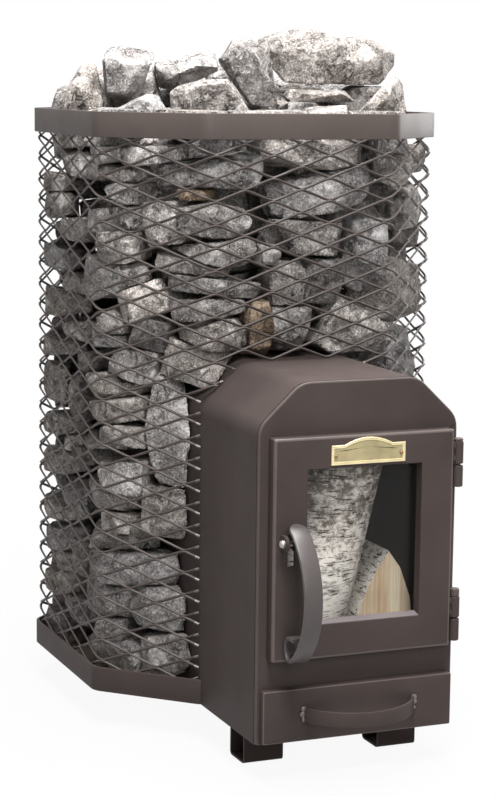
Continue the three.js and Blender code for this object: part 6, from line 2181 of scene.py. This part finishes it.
@dataclass
class Studio:
    """Floor, white surround, lamps and the camera."""

    camera_place: tuple[float, float, float] = (-1176.82, -2912.62, 915.98)
    yaw: float = 0.392497
    pitch: float = 0.151288
    roll: float = 0.0112654
    focal_pixels: float = 2118.17
    image_height: float = 796.0
    sensor: float = 36.0
    floor_size: float = 40.0
    ambient: float = 0.07
    floor_glow: float = 0.93
    floor_white: tuple[float, float] = (0.6, 1.4)
    lamps: tuple[tuple[str, tuple[float, float, float], float, float, float], ...] = (
        ("key_lamp", (-0.4, -1.35, 2.6), 0.8, 96.0, 0.6),
        ("front_lamp", (-0.4, -2.3, 1.2), 0.8, 20.0, 0.4),
        ("top_lamp", (0.1, 0.2, 2.9), 1.6, 165.0, 0.5),
        ("left_lamp", (-2.2, 1.4, 1.8), 1.2, 8.0, 0.6),
        ("right_lamp", (2.4, 0.8, 1.3), 1.5, 48.0, 0.6),
    )

    def build(self, shop: Workshop) -> None:
        """Sets up the camera, the lamps, the surround and the floor."""
        scene = bpy.context.scene
        scene.view_settings.view_transform = "Standard"
        self.camera(shop)
        for name, place, size, power, aim in self.lamps:
            self.lamp(name, place, size, power, aim)
        self.surround()
        self.floor()

    def camera(self, shop: Workshop) -> None:
        """Makes the camera at the photograph's angle."""
        ahead0 = Vector((sin(self.yaw), cos(self.yaw), 0))
        right0 = Vector((cos(self.yaw), -sin(self.yaw), 0))
        up0 = Vector((0, 0, 1))
        ahead = cos(self.pitch) * ahead0 - sin(self.pitch) * up0
        rise = sin(self.pitch) * ahead0 + cos(self.pitch) * up0
        right = cos(self.roll) * right0 + sin(self.roll) * rise
        up = cos(self.roll) * rise - sin(self.roll) * right0
        data = bpy.data.cameras.new("camera")
        data.sensor_width = self.sensor
        data.lens = self.focal_pixels * self.sensor / self.image_height
        data.clip_end = 60.0
        camera = bpy.data.objects.new("camera", data)
        bpy.context.scene.collection.objects.link(camera)
        turn = Matrix((right, up, -ahead)).transposed()
        place = Vector((np.array(self.camera_place) + shop.shift) * MILLIMETRE)
        camera.matrix_world = Matrix.Translation(place) @ turn.to_4x4()
        bpy.context.scene.camera = camera

    @staticmethod
    def lamp(name: str, place: tuple[float, float, float], size: float, power: float, aim: float) -> None:
        """Makes a square soft lamp that looks at a height on the stove's axis."""
        data = bpy.data.lights.new(name, "AREA")
        data.size = size
        data.energy = power
        lamp = bpy.data.objects.new(name, data)
        bpy.context.scene.collection.objects.link(lamp)
        lamp.location = place
        lamp.rotation_euler = (Vector((0, 0, aim)) - Vector(place)).to_track_quat("-Z", "Y").to_euler()

    @staticmethod
    def seen(tree: bpy.types.NodeTree) -> bpy.types.NodeSocket:
        """1 for a ray from the eye, straight or by way of a reflection or glass, and 0 for one that lights a surface.

        Args:
            tree: Nodes of the material or the world.

        Returns:
            The value.
        """
        path = tree.nodes.new("ShaderNodeLightPath")
        value = path.outputs["Is Camera Ray"]
        for kind in ("Is Glossy Ray", "Is Transmission Ray"):
            either = tree.nodes.new("ShaderNodeMath")
            either.operation = "MAXIMUM"
            tree.links.new(value, either.inputs[0])
            tree.links.new(path.outputs[kind], either.inputs[1])
            value = either.outputs[0]
        return value

    def surround(self) -> None:
        """Makes the world: white to the eye, and a plain level of light elsewhere."""
        world = bpy.data.worlds.new("surround")
        bpy.context.scene.world = world
        world.use_nodes = True
        tree = world.node_tree
        strength = tree.nodes.new("ShaderNodeMapRange")
        tree.links.new(self.seen(tree), strength.inputs["Value"])
        strength.inputs["To Min"].default_value = self.ambient
        strength.inputs["To Max"].default_value = 1.0
        background = tree.nodes["Background"]
        background.inputs["Color"].default_value = (1.0, 1.0, 1.0, 1.0)
        tree.links.new(strength.outputs["Result"], background.inputs["Strength"])

    def floor(self) -> None:
        """Makes a pale floor that is nearly white to the eye and keeps a soft shadow."""
        half = self.floor_size / 2
        mesh = bpy.data.meshes.new("floor")
        mesh.from_pydata([(-half, -half, 0), (half, -half, 0), (half, half, 0), (-half, half, 0)], [], [(0, 1, 2, 3)])
        floor = bpy.data.objects.new("floor", mesh)
        bpy.context.scene.collection.objects.link(floor)
        g = Graph("pale_floor")
        g.set(Base_Color=g.ramp(g.noise(3.0), [(0.3, (0.36, 0.36, 0.36)), (0.7, (0.4, 0.4, 0.4))]), Roughness=0.9)
        glow = g.node("Emission", {"Color": (1.0, 1.0, 1.0), "Strength": 1.0})
        distance = g.node("VectorMath", {0: g.place}, operation="LENGTH").outputs["Value"]
        share = g.maths("MULTIPLY", self.seen(g.tree), g.span(distance, self.floor_glow, 1.0, *self.floor_white))
        mixed = g.node("MixShader", {0: share, 1: g.shader.outputs[0], 2: glow.outputs[0]})
        g.tree.links.new(mixed.outputs[0], g.tree.nodes["Material Output"].inputs["Surface"])
        mesh.materials.append(g.material)


def main() -> None:
    """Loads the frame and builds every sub-assembly around it."""
    logging.basicConfig(level=logging.INFO, format="%(name)s: %(message)s")
    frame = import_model()
    shop = Workshop(frame)
    finishes = Finishes()
    Studio().build(shop)
    Cage().build(shop, finishes)
    Firebox().build(shop, finishes)
    Door().build(shop, finishes)
    Handle().build(shop, finishes)
    Drawer().build(shop, finishes)
    Firewood().build(shop, finishes)
    StoneFill().build(shop, finishes)


if __name__ == "__main__":
    main()
